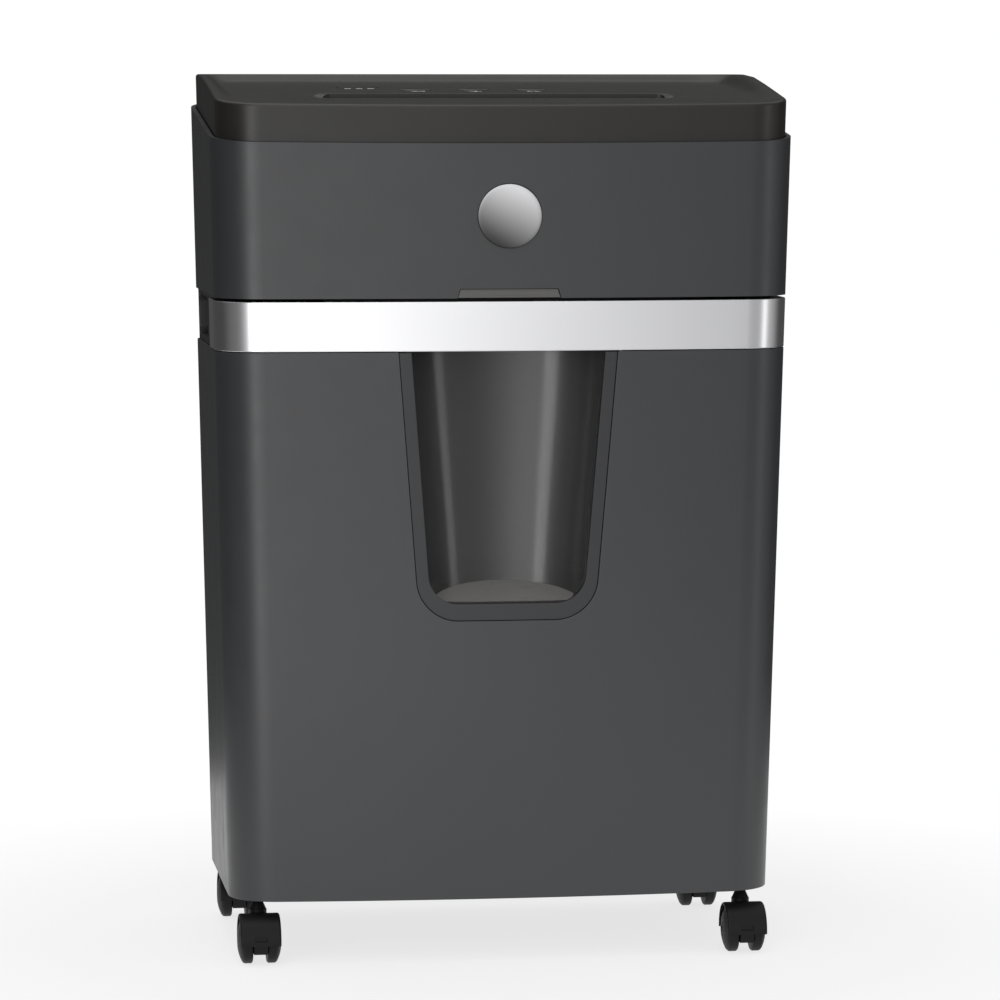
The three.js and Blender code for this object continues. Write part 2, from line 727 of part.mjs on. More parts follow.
function sensorLever() {
  const hubBody = rodX(3.4, leverX - leverHalf, leverX + leverHalf, leverAxis.y, leverAxis.z);
  const stubs = rodX(leverPin, leverX - 6, leverX + 6, leverAxis.y, leverAxis.z);
  const arm = sideProfile(polygon([
    [leverAxis.y - 1, leverAxis.z + 3], [leverAxis.y - 3, leverAxis.z - 3],
    [slotCentre - 1.6, leverAxis.z - 15], [slotCentre - 2, leverAxis.z - 12],
  ].reverse()), leverX - 1.5, leverX + 1.5);
  return join(hubBody, stubs, arm);
}

// --- Power supply -------------------------------------------------------------------------------

const powerLeft = 14 - halfWidth; // the board's left edge
const powerWidth = 41;
const powerFront = 60;
const powerRear = 196;
const powerLevel = headBottom + wall + 6;
const standoffRadius = 2.5;
const coreHeight = 22;

// The board stands on four posts in the left end of the head, and the transformer stands over it.
function powerBoard() {
  const top = powerLevel + 1;
  const right = powerLeft + powerWidth;
  const plate = block(powerLeft, right, powerFront, powerRear, powerLevel, powerLevel + boardThickness);
  const relay = block(powerLeft + 5, powerLeft + 23, powerFront + 10, powerFront + 28, top, powerLevel + 17);
  const capacitor = rodZ(9, top, powerLevel + 30, right - 18, powerRear - 18);
  const sink = block(powerLeft + 3, powerLeft + 7, powerRear - 66, powerRear - 26, top, powerLevel + 28);
  const corners = [
    [powerLeft + 5, powerFront + 4], [right - 5, powerFront + 4],
    [powerLeft + 5, powerRear - 4], [right - 5, powerRear - 4],
  ];
  const standoffs = corners.map(([x, y]) => rodZ(standoffRadius, headBottom + wall + gap, top, x, y, 8));
  return join(plate, relay, capacitor, sink, ...standoffs);
}

function transformer() {
  const low = powerLevel + boardThickness + gap;
  const [x0, x1] = [powerLeft + 13, powerLeft + powerWidth - 4];
  const [y0, y1] = [powerFront + 38, powerFront + 64];
  const core = block(x0, x1, y0, y1, low, low + coreHeight);
  const coil = block(x0 - 3, x1 + 3, y0 + 6, y1 - 6, low + 4, low + coreHeight + 4);
  return join(core, coil);
}

// --- Cabinet ------------------------------------------------------------------------------------

const collarInset = 1.5;
const collarTongue = 8;
const gripFront = 116;
const gripRear = 192;
const gripSink = 13;
const pocketWall = 3;
const bossRadius = 10;
const socketTop = tubFloor - 2;
const railX = 120;
const railHalf = 4;

function cabinetShell() {
  return cut(casingWall(0, wall, cabinetBottom, cabinetTop), aheadOf(returnDepth + gap / 2));
}

function cabinetBase() {
  const floor = casing(wall + gap, cabinetBottom, cabinetBottom + wall);
  const castorSpots = [[castorX, castorFrontY], [-castorX, castorFrontY], [castorX, castorRearY], [-castorX, castorRearY]];
  const bosses = castorSpots.map(([x, y]) => rodZ(bossRadius, cabinetBottom + 1, socketTop, x, y, 14));
  const holes = castorSpots.map(([x, y]) => rodZ(stemRadius + runningGap, cabinetBottom - 1, socketTop - 2, x, y));
  const rails = [-1, 1].map((side) => block(
    side * railX - railHalf, side * railX + railHalf, castorFrontY, depth - 20, cabinetBottom + 1, tubFloor - gap,
  ));
  return cut(join(floor, ...bosses, ...rails), ...holes);
}

function cabinetCollar() {
  const inner = wall + gap + 3;
  const high = headBottom - gap;
  const ring = casingWall(collarInset, inner, cabinetTop + gap, high);
  const tongue = casingWall(wall + gap, inner, cabinetTop - collarTongue, cabinetTop + 1);
  const low = cabinetTop + gap + 1;
  const reach = halfWidth - gripSink - 9;
  const boxes = [-1, 1].map((side) => {
    const [x0, x1] = side > 0 ? [reach, halfWidth - 8] : [8 - halfWidth, -reach];
    return block(x0, x1, gripFront - pocketWall, gripRear + pocketWall, low, high);
  });
  const pockets = [-1, 1].map((side) => {
    const [x0, x1] = side > 0 ? [reach + pocketWall, halfWidth + 5] : [-halfWidth - 5, -reach - pocketWall];
    return block(x0, x1, gripFront, gripRear, low + pocketWall, high - pocketWall);
  });
  return cut(join(ring, tongue, ...boxes), aheadOf(returnDepth + gap / 2), ...pockets);
}

const switchBodyX = halfWidth - 15;
const switchBodyHalf = 5;
const switchBodyFoot = 429;
const plungerHalf = 1.5;
const plungerLevel = 434;
const plungerRear = 97;

function interlockSwitch() {
  const body = block(
    switchBodyX - switchBodyHalf, switchBodyX + switchBodyHalf, 90, 110, switchBodyFoot, headBottom - gap,
  );
  const slot = block(
    switchBodyX - plungerHalf - gap, switchBodyX + plungerHalf + gap, 89, plungerRear + 1,
    plungerLevel - plungerHalf - gap, plungerLevel + plungerHalf + gap,
  );
  return cut(body, slot);
}

const interlockPlunger = () => block(
  switchBodyX - plungerHalf, switchBodyX + plungerHalf, tabRear + gap, plungerRear,
  plungerLevel - plungerHalf, plungerLevel + plungerHalf,
);

// --- Drawer -------------------------------------------------------------------------------------

const tabRear = 82;
const lipWidth = 9;
const bandFoot = cabinetTop + gap;

// The window's outline: sides that draw together downwards and a foot with rounded corners.
function windowShape(shrinkSide, shrinkFoot, top) {
  const corner = windowCorner - shrinkSide;
  const foot = windowBottom + shrinkFoot;
  const half = (z) => windowTopHalf - shrinkSide - windowTaper * (cabinetTop - z);
  const lean = Math.atan(windowTaper);
  const centreZ = foot + corner;
  const centreX = half(centreZ) - corner / Math.cos(lean);
  const shape = new THREE.Shape();
  shape.moveTo(-half(top), top);
  shape.lineTo(-half(centreZ), centreZ);
  shape.absarc(-centreX, centreZ, corner, Math.PI + lean, 1.5 * Math.PI, false);
  shape.absarc(centreX, centreZ, corner, -Math.PI / 2, -lean, false);
  shape.lineTo(half(top), top);
  return shape;
}

const frontReach = [-beyond, nicheDepth + beyond];

function drawerFront() {
  const shell = cut(casingWall(0, wall, cabinetBottom + gap, cabinetTop), behind(returnDepth - gap / 2));
  return cut(shell, frontProfile(windowShape(-gap, -gap, cabinetTop + 1), ...frontReach));
}

function windowBezel() {
  const skin = casingWall(bezelSink, bezelDeep, windowBottom - 10, cabinetTop - gap);
  const hole = frontProfile(windowShape(bezelSide, bezelFoot, cabinetTop + 1), ...frontReach);
  return cut(common(skin, frontProfile(windowShape(0, 0, cabinetTop + 1), ...frontReach)), hole);
}

// The hollow behind the window: an upright half oval that narrows downwards.
function niche(grow, top) {
  const half = windowTopHalf - bezelSide + grow;
  const oval = new THREE.CylinderGeometry(1, 1, top - windowBottom + 20, 24);
  oval.rotateX(Math.PI / 2);
  oval.scale(half + 3, nicheDepth + grow, 1);
  oval.translate(0, 4, (top + windowBottom - 20) / 2);
  return common(solid(oval), frontProfile(windowShape(bezelSide - grow, bezelFoot - grow, top), ...frontReach));
}

function windowScoop() {
  const outer = common(niche(nicheEdge + nicheWall, scoopTop), casing(bezelDeep + gap, windowBottom - 10, scoopTop));
  return cut(outer, niche(nicheEdge, scoopTop + 1));
}

function silverBand() {
  const tongueInset = wall + gap;
  const tongueFoot = cabinetTop - collarTongue;
  const body = join(casing(0, bandFoot, bandTop), casing(tongueInset, tongueFoot, bandFoot + 1));
  const windowGap = block(-windowTopHalf - 2, windowTopHalf + 2, -beyond, beyond, tongueFoot - 1, bandFoot);
  return cut(
    body,
    casing(tongueInset + tongueWall, tongueFoot - 1, bandFoot + 3),
    casing(wall, bandFoot + 2.5, bandTop - 2.5),
    casing(wall + lipWidth, bandTop - 3, bandTop + 1),
    windowGap,
    behind(returnDepth - gap / 2),
  );
}

const guideWidth = 3;

function binTub() {
  const outer = casing(tubInset, tubFloor, tubTop);
  const inner = casing(tubInset + tubWall, tubFloor + tubWall, tubTop + 1);
  const flange = cut(
    casingWall(wall + gap, tubInset + 1, tubTop - tubWall, tubTop), behind(tabRear),
    block(-windowTopHalf - 2, windowTopHalf + 2, -beyond, beyond, tubTop - 2 * tubWall, tubTop + 1),
  );
  const tab = block(switchBodyX - 2, switchBodyX + 2, tabRear - 3, tabRear, tubTop - tubWall, plungerLevel + 5);
  const guides = [-1, 1].map((side) => {
    const edge = side * (railX - railHalf - gap);
    const [x0, x1] = side > 0 ? [edge - guideWidth, edge] : [edge, edge + guideWidth];
    return block(x0, x1, castorFrontY + 2, depth - 22, tubFloor - 10, tubFloor + 1);
  });
  const mouth = niche(nicheEdge + nicheWall + gap, scoopTop);
  return cut(join(cut(outer, inner), flange, tab, ...guides), mouth);
}

// --- Castors ------------------------------------------------------------------------------------

const hoodInner = wheelRadius + 0.8;
const hoodOuter = wheelRadius + 2.4;
const hoodHalfWidth = 13.6;
const axleRadius = 2;
const webFoot = 8;
const collarRadius = 6;
const collarFoot = 24;
const collarTop = 35.5;
const neckRadius = 3.4;
const neckTop = 40;

function hoodArc(radius, from, to) {
  const shape = new THREE.Shape();
  shape.absarc(-trail, wheelRadius, radius, THREE.MathUtils.degToRad(from), THREE.MathUtils.degToRad(to), false);
  return shape;
}

// Stem, collar, fender and the web between the wheels, with the stem's axis through the origin.
function castorHood() {
  const arc = hoodArc(hoodOuter, -5, 185);
  const fender = sideProfile(arc, -hoodHalfWidth, hoodHalfWidth, 5);
  const inside = sideProfile(hoodArc(hoodInner, 0, 360), -hoodHalfWidth - 1, hoodHalfWidth + 1, 8);
  const web = cut(
    sideProfile(hoodArc(hoodInner + 0.5, 0, 360), -webHalf, webHalf, 6),
    block(-webHalf - 1, webHalf + 1, -trail - beyond, -trail + beyond, -beyond, webFoot),
  );
  const stem = turnedZ([[0, collarFoot], [collarRadius, collarFoot], [collarRadius, collarTop], [neckRadius, neckTop],
    [stemRadius, cabinetBottom - 0.5], [stemRadius, socketTop - 2 - gap], [0, socketTop - 2 - gap]], 0, 0, 12);
  const axle = rodX(axleRadius, -hoodHalfWidth, hoodHalfWidth, -trail, wheelRadius, 10);
  const clear = [-1, 1].map((side) => {
    const [x0, x1] = side > 0 ? [webHalf, hoodHalfWidth + 1] : [-hoodHalfWidth - 1, -webHalf];
    return rodX(hoodInner, x0, x1, -trail, wheelRadius, 16);
  });
  return join(cut(join(cut(fender, inside), web, stem), ...clear), axle);
}

function castorWheel(side) {
  const near = webHalf + runningGap;
  const far = near + wheelWidth;
  const bore = axleRadius + runningGap;
  const profile = [[bore, near], [wheelRadius, near], [wheelRadius, far - 3.2], [wheelRadius - 2.5, far],
    [bore, far], [bore, near]];
  return turnedX(profile.map(([radius, x]) => [radius, side * x]), -trail, wheelRadius, 16);
}

function castor(name, x, y, turn) {
  const group = groupOf(
    piece(`castor_${name}_hood`, castorHood(), blackPart),
    piece(`castor_${name}_wheel_left`, castorWheel(-1), blackPart),
    piece(`castor_${name}_wheel_right`, castorWheel(1), blackPart),
  );
  group.position.set(x, y, 0);
  group.rotation.z = turn;
  return group;
}

// --- Assembly -----------------------------------------------------------------------------------

const headCasing = groupOf(
  piece("head_shell", headShell(), greyShell),
  piece("top_cover", topCover(), blackShell),
  piece("head_base", headBase(), blackPart),
  piece("finger_scoop", fingerScoop(), greyShell),
  piece("badge_disc", badgeDisc(), silver),
  piece("indicator_lens", indicatorLens(), smoked),
  piece("button_reverse", pushButton(-buttonPitch), blackPart),
  piece("button_auto", pushButton(0), blackPart),
  piece("button_forward", pushButton(buttonPitch), blackPart),
  piece("control_board", controlBoard(), board),
  piece("rocker_frame", rockerFrame(), blackPart),
  piece("rocker", rocker(), blackPart),
  piece("cord_gland", cordGland(), blackPart),
  piece("power_board", powerBoard(), board),
  piece("transformer", transformer(), steel),
);

const cuttingBlock = groupOf(
  piece("side_plate_left", sidePlate(-1, blockRear), steel),
  piece("side_plate_right", rightPlate(), steel),
  piece("gear_plate", gearPlate(), steel),
  piece("tie_rod_front", tieRod(blockFront + 10), steel),
  piece("tie_rod_rear", tieRod(blockRear - 8), steel),
  piece("cutter_front", cutter(frontAxis, discCount - 1, cutterGears[1] + 0.5), steel),
  piece("cutter_rear", cutter(rearAxis, discCount, drivePlane[1] + 0.5), steel),
  piece("bush_front_left", bush(frontAxis, -1), brass),
  piece("bush_front_right", bush(frontAxis, 1), brass),
  piece("bush_rear_left", bush(rearAxis, -1), brass),
  piece("bush_rear_right", bush(rearAxis, 1), brass),
  piece("stripper_front", stripper(frontAxis, -1, discCount - 1), blackPart),
  piece("stripper_rear", stripper(rearAxis, 1, discCount), blackPart),
  piece("cutter_gear_front", gear(teeth.cutter, toothModule.cutter, gearBore, cutterGears, frontAxis, frontPhase), steel),
  piece("cutter_gear_rear", gear(teeth.cutter, toothModule.cutter, gearBore, cutterGears, rearAxis, 0), steel),
  piece("drive_gear", gear(teeth.drive, toothModule.drive, gearBore, drivePlane, rearAxis, 0), steel),
  piece("second_gear", secondGear(), whitePlastic),
  piece("first_gear", firstGear(), whitePlastic),
  piece("motor_case", motorCase(), steel),
  piece("motor_rotor", motorRotor(), steel),
  piece("throat_guide", throatGuide(), blackPart),
  piece("sensor_lever", sensorLever(), whitePlastic),
);

const cabinet = groupOf(
  piece("cabinet_shell", cabinetShell(), greyShell),
  piece("cabinet_base", cabinetBase(), blackPart),
  piece("cabinet_collar", cabinetCollar(), blackPart),
  piece("interlock_switch", interlockSwitch(), blackPart),
  piece("interlock_plunger", interlockPlunger(), whitePlastic),
);

const drawer = groupOf(
  piece("drawer_front", drawerFront(), greyShell),
  piece("window_bezel", windowBezel(), greyShell),
  piece("window_scoop", windowScoop(), smoked),
  piece("silver_band", silverBand(), silver),
  piece("bin_tub", binTub(), blackPart),
);

const castors = groupOf(
  castor("front_left", -castorX, castorFrontY, 0),
  castor("front_right", castorX, castorFrontY, 0),
  castor("rear_left", -castorX, castorRearY, Math.PI),
  castor("rear_right", castorX, castorRearY, Math.PI),
);

const shredder = groupOf(headCasing, cuttingBlock, cabinet, drawer, castors);
shredder.position.y = -depth / 2;

export default shredder;
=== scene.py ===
import bmesh
import bpy
import math
from mathutils import Matrix, Vector


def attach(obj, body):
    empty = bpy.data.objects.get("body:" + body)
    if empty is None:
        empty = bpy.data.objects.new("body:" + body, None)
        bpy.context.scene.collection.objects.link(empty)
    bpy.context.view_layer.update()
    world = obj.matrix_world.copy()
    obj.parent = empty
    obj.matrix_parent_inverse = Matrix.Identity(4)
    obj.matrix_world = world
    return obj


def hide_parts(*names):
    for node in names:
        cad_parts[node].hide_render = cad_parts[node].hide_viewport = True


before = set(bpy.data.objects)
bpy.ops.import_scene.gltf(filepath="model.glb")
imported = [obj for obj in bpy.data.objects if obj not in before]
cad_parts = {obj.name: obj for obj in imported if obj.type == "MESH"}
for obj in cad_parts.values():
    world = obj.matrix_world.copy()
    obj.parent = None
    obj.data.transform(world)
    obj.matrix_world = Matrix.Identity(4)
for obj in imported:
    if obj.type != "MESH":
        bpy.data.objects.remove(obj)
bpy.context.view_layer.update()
scene = bpy.context.scene
print("frame loaded")

# Shapes are drawn in millimetres, with y counted from the front. A piece is moved to the frame's
# metres when it is made.
casing = {
    "halfWidth": 195, "depth": 240, "bow": 1770, "frontCorner": 35, "rearCorner": 38,
    "sideDraft": 0.0228, "frontDraft": 0.0409, "wall": 3, "gap": 0.4,
    "seam": 547.5, "seamSlope": 0.113, "cornerSteps": 14, "bowSteps": 28,
}
levels = {"cabinetBottom": 42, "cabinetTop": 410, "bandTop": 443.5, "headBottom": 445.5, "top": 593.5}
gap, wall, depth = casing["gap"], casing["wall"], casing["depth"]
beyond, behindAll = 60, 400  # how far cutting blocks reach ahead of the front, and where they end behind


def toFrame(bm):
    bmesh.ops.translate(bm, verts=bm.verts, vec=(0, -depth / 2, 0))
    bmesh.ops.scale(bm, verts=bm.verts, vec=(0.001, 0.001, 0.001))


def newObject(name, bm):
    mesh = bpy.data.meshes.new(name)
    bm.to_mesh(mesh)
    bm.free()
    made = bpy.data.objects.new(name, mesh)
    scene.collection.objects.link(made)
    return made


def freeze(piece):
    # Applies the modifiers, so that the piece is a plain mesh again.
    graph = bpy.context.evaluated_depsgraph_get()
    mesh = bpy.data.meshes.new_from_object(piece.evaluated_get(graph))
    old = piece.data
    piece.modifiers.clear()
    piece.data = mesh
    bpy.data.meshes.remove(old)


def carve(piece, tools, operation="DIFFERENCE"):
    # Cuts, joins or keeps what lies in the tools, each a bmesh in millimetres.
    cutters = []
    for tool in tools:
        toFrame(tool)
        cutter = newObject("cutter", tool)
        cutters.append(cutter)
        step = piece.modifiers.new("carve", "BOOLEAN")
        step.object = cutter
        step.operation = operation
        step.solver = "EXACT"
    freeze(piece)
    for cutter in cutters:
        bpy.data.meshes.remove(cutter.data)


def soften(piece, width=0.6, segments=2, angle=38):
    edge = piece.modifiers.new("edges", "BEVEL")
    edge.width = width / 1000
    edge.segments = segments
    edge.limit_method = "ANGLE"
    edge.angle_limit = math.radians(angle)
    edge.use_clamp_overlap = True
    freeze(piece)


def shade(piece, angle=32, weighted=True):
    piece.data.shade_smooth()
    piece.data.set_sharp_from_angle(angle=math.radians(angle))
    if weighted:
        step = piece.modifiers.new("normals", "WEIGHTED_NORMAL")
        step.keep_sharp = True
        step.weight = 60
        freeze(piece)


def place(piece, material, body, slot, nodes=()):
    piece.data.materials.clear()
    piece.data.materials.append(material)
    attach(piece, body)
    if nodes:
        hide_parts(*nodes)
    return piece


def merged(bm, distance=0.001):
    bmesh.ops.remove_doubles(bm, verts=bm.verts, dist=distance)
    bmesh.ops.recalc_face_normals(bm, faces=bm.faces)
    return bm


def addPiece(name, bm, material, body, slot, nodes=(), edge=0.5, segments=2, carved=(), angle=32):
    toFrame(bm)
    piece = newObject(name, bm)
    for tools, operation in carved:
        carve(piece, tools, operation)
    if edge:
        soften(piece, edge, segments)
    shade(piece, angle)
    return place(piece, material, body, slot, nodes)


def drawIn(bm):
    # Sides and front lean in downwards, about the middle of the rear.
    for vert in bm.verts:
        drop = casing["seam"] - vert.co.z
        vert.co.x *= 1 - casing["sideDraft"] * drop / casing["halfWidth"]
        fromRear = depth - vert.co.y
        vert.co.y = depth - fromRear * (1 - casing["frontDraft"] * drop / depth)


def planRing(bm, inset, level):
    # One closed line round the casing: a vertex spun round the bow and each corner in turn.
    bow, halfWidth = casing["bow"], casing["halfWidth"]
    frontCorner, rearCorner = casing["frontCorner"], casing["rearCorner"]
    frontX = halfWidth - frontCorner
    frontY = bow - math.sqrt((bow - frontCorner) ** 2 - frontX ** 2)
    lean = math.asin(frontX / (bow - frontCorner))
    rearX, rearY = halfWidth - rearCorner, depth - rearCorner
    rear = rearCorner - inset
    steps = casing["cornerSteps"]
    known = set(bm.verts)
    reach = bow - inset
    tip = bm.verts.new((-reach * math.sin(lean), bow - reach * math.cos(lean), 0))
    route = [
        (0, bow, 2 * lean, casing["bowSteps"], None),
        (frontX, frontY, math.pi / 2 - lean, steps, (rearX + rear, rearY)),
        (rearX, rearY, math.pi / 2, steps, (-rearX, rearY + rear)),
        (-rearX, rearY, math.pi / 2, steps, (inset - halfWidth, frontY)),
        (-frontX, frontY, math.pi / 2 - lean, steps, None),
    ]
    for x, y, turn, count, after in route:
        spun = bmesh.ops.spin(
            bm, geom=[tip], cent=(x, y, 0), axis=(0, 0, 1), dvec=(0, 0, 0), angle=turn, steps=count,
            use_merge=False,
        )
        tip = [g for g in spun["geom_last"] if isinstance(g, bmesh.types.BMVert)][0]
        if after:
            corner = bm.verts.new((*after, 0))
            bm.edges.new((tip, corner))
            tip = corner
    bmesh.ops.remove_doubles(bm, verts=[v for v in bm.verts if v not in known], dist=0.01)
    ring = [v for v in bm.verts if v not in known]
    for vert in ring:
        vert.co.z = level(vert.co.y) if callable(level) else level
    return list(dict.fromkeys(edge for vert in ring for edge in vert.link_edges))


def ringBody(rings, closed=True):
    # Rings are (inset, level). A closed body joins its last ring to its first; an open one is capped.
    bm = bmesh.new()
    loops = [planRing(bm, inset, level) for inset, level in rings]
    bridged(bm, loops, closed, () if closed else (0, -1))
    drawIn(bm)
    return merged(bm)


def casingWall(outer, inner, low, high):
    return ringBody([(outer, low), (outer, high), (inner, high), (inner, low)])


def casingSolid(inset, low, high):
    return ringBody([(inset, low), (inset, high)], closed=False)


def slab(near, far):
    # Everything between two depths.
    return block(-300, 300, near, far, 0, 700)


def block(x0, x1, y0, y1, z0, z1, round=0, along="z", segments=6):
    # A box, with the edges along one axis rounded if asked.
    bm = bmesh.new()
    bmesh.ops.create_cube(bm, size=1)
    bmesh.ops.scale(bm, verts=bm.verts, vec=(x1 - x0, y1 - y0, z1 - z0))
    bmesh.ops.translate(bm, verts=bm.verts, vec=((x0 + x1) / 2, (y0 + y1) / 2, (z0 + z1) / 2))
    if round:
        axis = {"x": Vector((1, 0, 0)), "y": Vector((0, 1, 0)), "z": Vector((0, 0, 1))}[along]
        edges = [e for e in bm.edges if abs((e.verts[0].co - e.verts[1].co).normalized().dot(axis)) > 0.99]
        bevelEdges(bm, edges, round, segments)
    return bm


def sliced(bm, point, normal, clear=False):
    # Cuts every face along a plane; clear also drops what lies on the normal's side.
    bmesh.ops.bisect_plane(bm, geom=bm.verts[:] + bm.edges[:] + bm.faces[:], plane_co=point,
                           plane_no=normal, clear_outer=clear)
    if clear:
        bmesh.ops.holes_fill(bm, edges=bm.edges, sides=0)
    return bm


def bridged(bm, loops, closed=False, caps=()):
    # Joins a row of edge loops. Caps are the loops to fill, by their place in the row.
    pairs = list(zip(loops, loops[1:]))
    if closed:
        pairs.append((loops[-1], loops[0]))
    for one, other in pairs:
        bmesh.ops.bridge_loops(bm, edges=one + other)
    for place in caps:
        bmesh.ops.edgeloop_fill(bm, edges=loops[place])
    return bm


def bevelEdges(bm, edges, offset, segments):
    bmesh.ops.bevel(
        bm, geom=edges, offset=offset, segments=segments, profile=0.5, affect="EDGES", material=-1,
        offset_type="OFFSET", clamp_overlap=True,
    )


def flatShape(points):
    bm = bmesh.new()
    bm.faces.new([bm.verts.new(p) for p in points])
    return bm


def drawnOut(bm, vec):
    # Extrudes the one face of a flat shape.
    made = bmesh.ops.extrude_face_region(bm, geom=bm.faces[:])
    verts = [g for g in made["geom"] if isinstance(g, bmesh.types.BMVert)]
    bmesh.ops.translate(bm, verts=verts, vec=vec)
    bmesh.ops.recalc_face_normals(bm, faces=bm.faces)
    return bm


def ovalRing(bm, halfX, halfY, centreY, level, segments, square=1):
    # A level oval, drawn out towards a rounded square where square is under 1. Gives its edges.
    verts = bmesh.ops.create_circle(bm, segments=segments, radius=1, cap_ends=False)["verts"]
    for vert in verts:
        for axis in (0, 1):
            vert.co[axis] = math.copysign(abs(vert.co[axis]) ** square, vert.co[axis])
    bmesh.ops.scale(bm, verts=verts, vec=(halfX, halfY, 1))
    bmesh.ops.translate(bm, verts=verts, vec=(0, centreY, level))
    return list(dict.fromkeys(e for v in verts for e in v.link_edges))


def rod(radius, low, high, axis, segments, centre=(0, 0, 0)):
    return turned([[0, low], [radius, low], [radius, high], [0, high]], axis, segments, centre)


def turned(profile, axis, segments=48, centre=(0, 0, 0)):
    # Spins [radius, along] points into a closed body round a line along one axis.
    bm = bmesh.new()
    verts = [bm.verts.new((radius, 0, along)) for radius, along in profile]
    for one, other in zip(verts, verts[1:]):
        bm.edges.new((one, other))
    if profile[0][0] > 0:
        bm.edges.new((verts[-1], verts[0]))
    bmesh.ops.spin(
        bm, geom=bm.verts[:] + bm.edges[:], cent=(0, 0, 0), axis=(0, 0, 1), dvec=(0, 0, 0), angle=2 * math.pi,
        steps=segments, use_merge=True,
    )
    merged(bm)
    right = math.pi / 2
    turn = {"z": Matrix.Identity(3), "x": Matrix.Rotation(right, 3, "Y"),
            "y": Matrix.Rotation(-right, 3, "X")}
    bmesh.ops.rotate(bm, verts=bm.verts, cent=(0, 0, 0), matrix=turn[axis])
    bmesh.ops.translate(bm, verts=bm.verts, vec=centre)
    return bm


def joined(*parts):
    # Puts several bmeshes in one, as separate shells.
    total = bmesh.new()
    for part in parts:
        mesh = bpy.data.meshes.new("part")
        part.to_mesh(mesh)
        part.free()
        total.from_mesh(mesh)
        bpy.data.meshes.remove(mesh)
    return total


def newGroup(name, numbers, outputs):
    # Every group takes a vector, a colour and its own numbers, and gives a colour and its own values.
    group = bpy.data.node_groups.new(name, "ShaderNodeTree")
    inputs = [("Vector", "NodeSocketVector", (0, 0, 0)), ("Colour", "NodeSocketColor", (0.1, 0.1, 0.1, 1))]
    inputs += [(label, "NodeSocketFloat", number) for label, number in numbers.items()]
    for label, kind, value in inputs:
        group.interface.new_socket(label, in_out="INPUT", socket_type=kind).default_value = value
    group.interface.new_socket("Colour", in_out="OUTPUT", socket_type="NodeSocketColor")
    for label in outputs:
        group.interface.new_socket(label, in_out="OUTPUT", socket_type="NodeSocketFloat")
    return group, group.nodes.new("NodeGroupInput"), group.nodes.new("NodeGroupOutput")


def wire(tree, target, links):
    for key, source in links.items():
        tree.links.new(source, target.inputs[key])


def node(tree, kind, links=None, **values):
    made = tree.nodes.new(kind)
    for key, value in values.items():
        if hasattr(made, key):
            setattr(made, key, value)
        else:
            made.inputs[key].default_value = value
    wire(tree, made, links or {})
    return made


def noise(tree, vector, scale, detail=3, rough=0.5):
    made = node(tree, "ShaderNodeTexNoise", {"Vector": vector}, Scale=scale, Detail=detail, Roughness=rough)
    return made.outputs["Fac"]


def ramp(tree, value, low, high, toLow=0.0, toHigh=1.0):
    made = node(tree, "ShaderNodeMapRange", {"Value": value})
    for key, number in zip(("From Min", "From Max", "To Min", "To Max"), (low, high, toLow, toHigh)):
        made.inputs[key].default_value = number
    return made.outputs["Result"]


def calc(tree, operation, a, b):
    made = tree.nodes.new("ShaderNodeMath")
    made.operation = operation
    for socket, value in zip(made.inputs, (a, b)):
        if isinstance(value, (int, float)):
            socket.default_value = value
        else:
            tree.links.new(value, socket)
    return made.outputs[0]


def mixColour(tree, factor, a, b, blend="MIX"):
    made = tree.nodes.new("ShaderNodeMix")
    made.data_type = "RGBA"
    made.blend_type = blend
    for socket, value in zip((made.inputs[0], made.inputs[6], made.inputs[7]), (factor, a, b)):
        if isinstance(value, (int, float, tuple)):
            socket.default_value = value
        else:
            tree.links.new(value, socket)
    return made.outputs[2]


def spread(tree, value, low, high):
    # Spreads the middle of a noise over a range.
    return ramp(tree, value, 0.3, 0.7, low, high)


def toned(tree, colour, tone):
    # Darkens or lightens a colour by a factor.
    grey = node(tree, "ShaderNodeCombineColor", {"Red": tone, "Green": tone, "Blue": tone})
    return mixColour(tree, 1.0, colour, grey.outputs[0], "MULTIPLY")


def mouldedGrain():
    # Spark-eroded mould texture: fine pits, with slow drifts of colour and gloss.
    group, given, out = newGroup("mouldedGrain", {"Grain": 1500.0, "Gloss": 0.5}, ["Roughness", "Height"])
    vector = given.outputs["Vector"]
    fine = node(group, "ShaderNodeTexNoise", {"Vector": vector, "Scale": given.outputs["Grain"]},
                Detail=2.0, Roughness=0.6).outputs["Fac"]
    slow = noise(group, vector, 9.0, 3)
    streaks = noise(group, vector, 55.0, 2)
    tone = calc(group, "MULTIPLY", spread(group, slow, 0.965, 1.035), spread(group, fine, 0.95, 1.05))
    gloss = calc(group, "ADD", given.outputs["Gloss"], spread(group, streaks, -0.03, 0.03))
    pits = ramp(group, fine, 0.35, 0.65, -0.02, 0.04)
    wire(group, out, {"Colour": toned(group, given.outputs["Colour"], tone),
                      "Roughness": calc(group, "ADD", gloss, pits), "Height": fine})
    return group


def dustFilm():
    # A thin film of dust that lies on upward faces.
    group, given, out = newGroup("dustFilm", {"Amount": 0.1}, ["Mask"])
    facing = node(group, "ShaderNodeNewGeometry")
    up = node(group, "ShaderNodeSeparateXYZ", {"Vector": facing.outputs["Normal"]})
    top = ramp(group, up.outputs["Z"], 0.5, 1.0)
    patches = ramp(group, noise(group, given.outputs["Vector"], 26.0, 5, 0.6), 0.35, 0.75)
    mask = calc(group, "MULTIPLY", calc(group, "MULTIPLY", top, patches), given.outputs["Amount"])
    dust = (0.42, 0.41, 0.39, 1)
    wire(group, out, {"Colour": mixColour(group, mask, given.outputs["Colour"], dust), "Mask": mask})
    return group


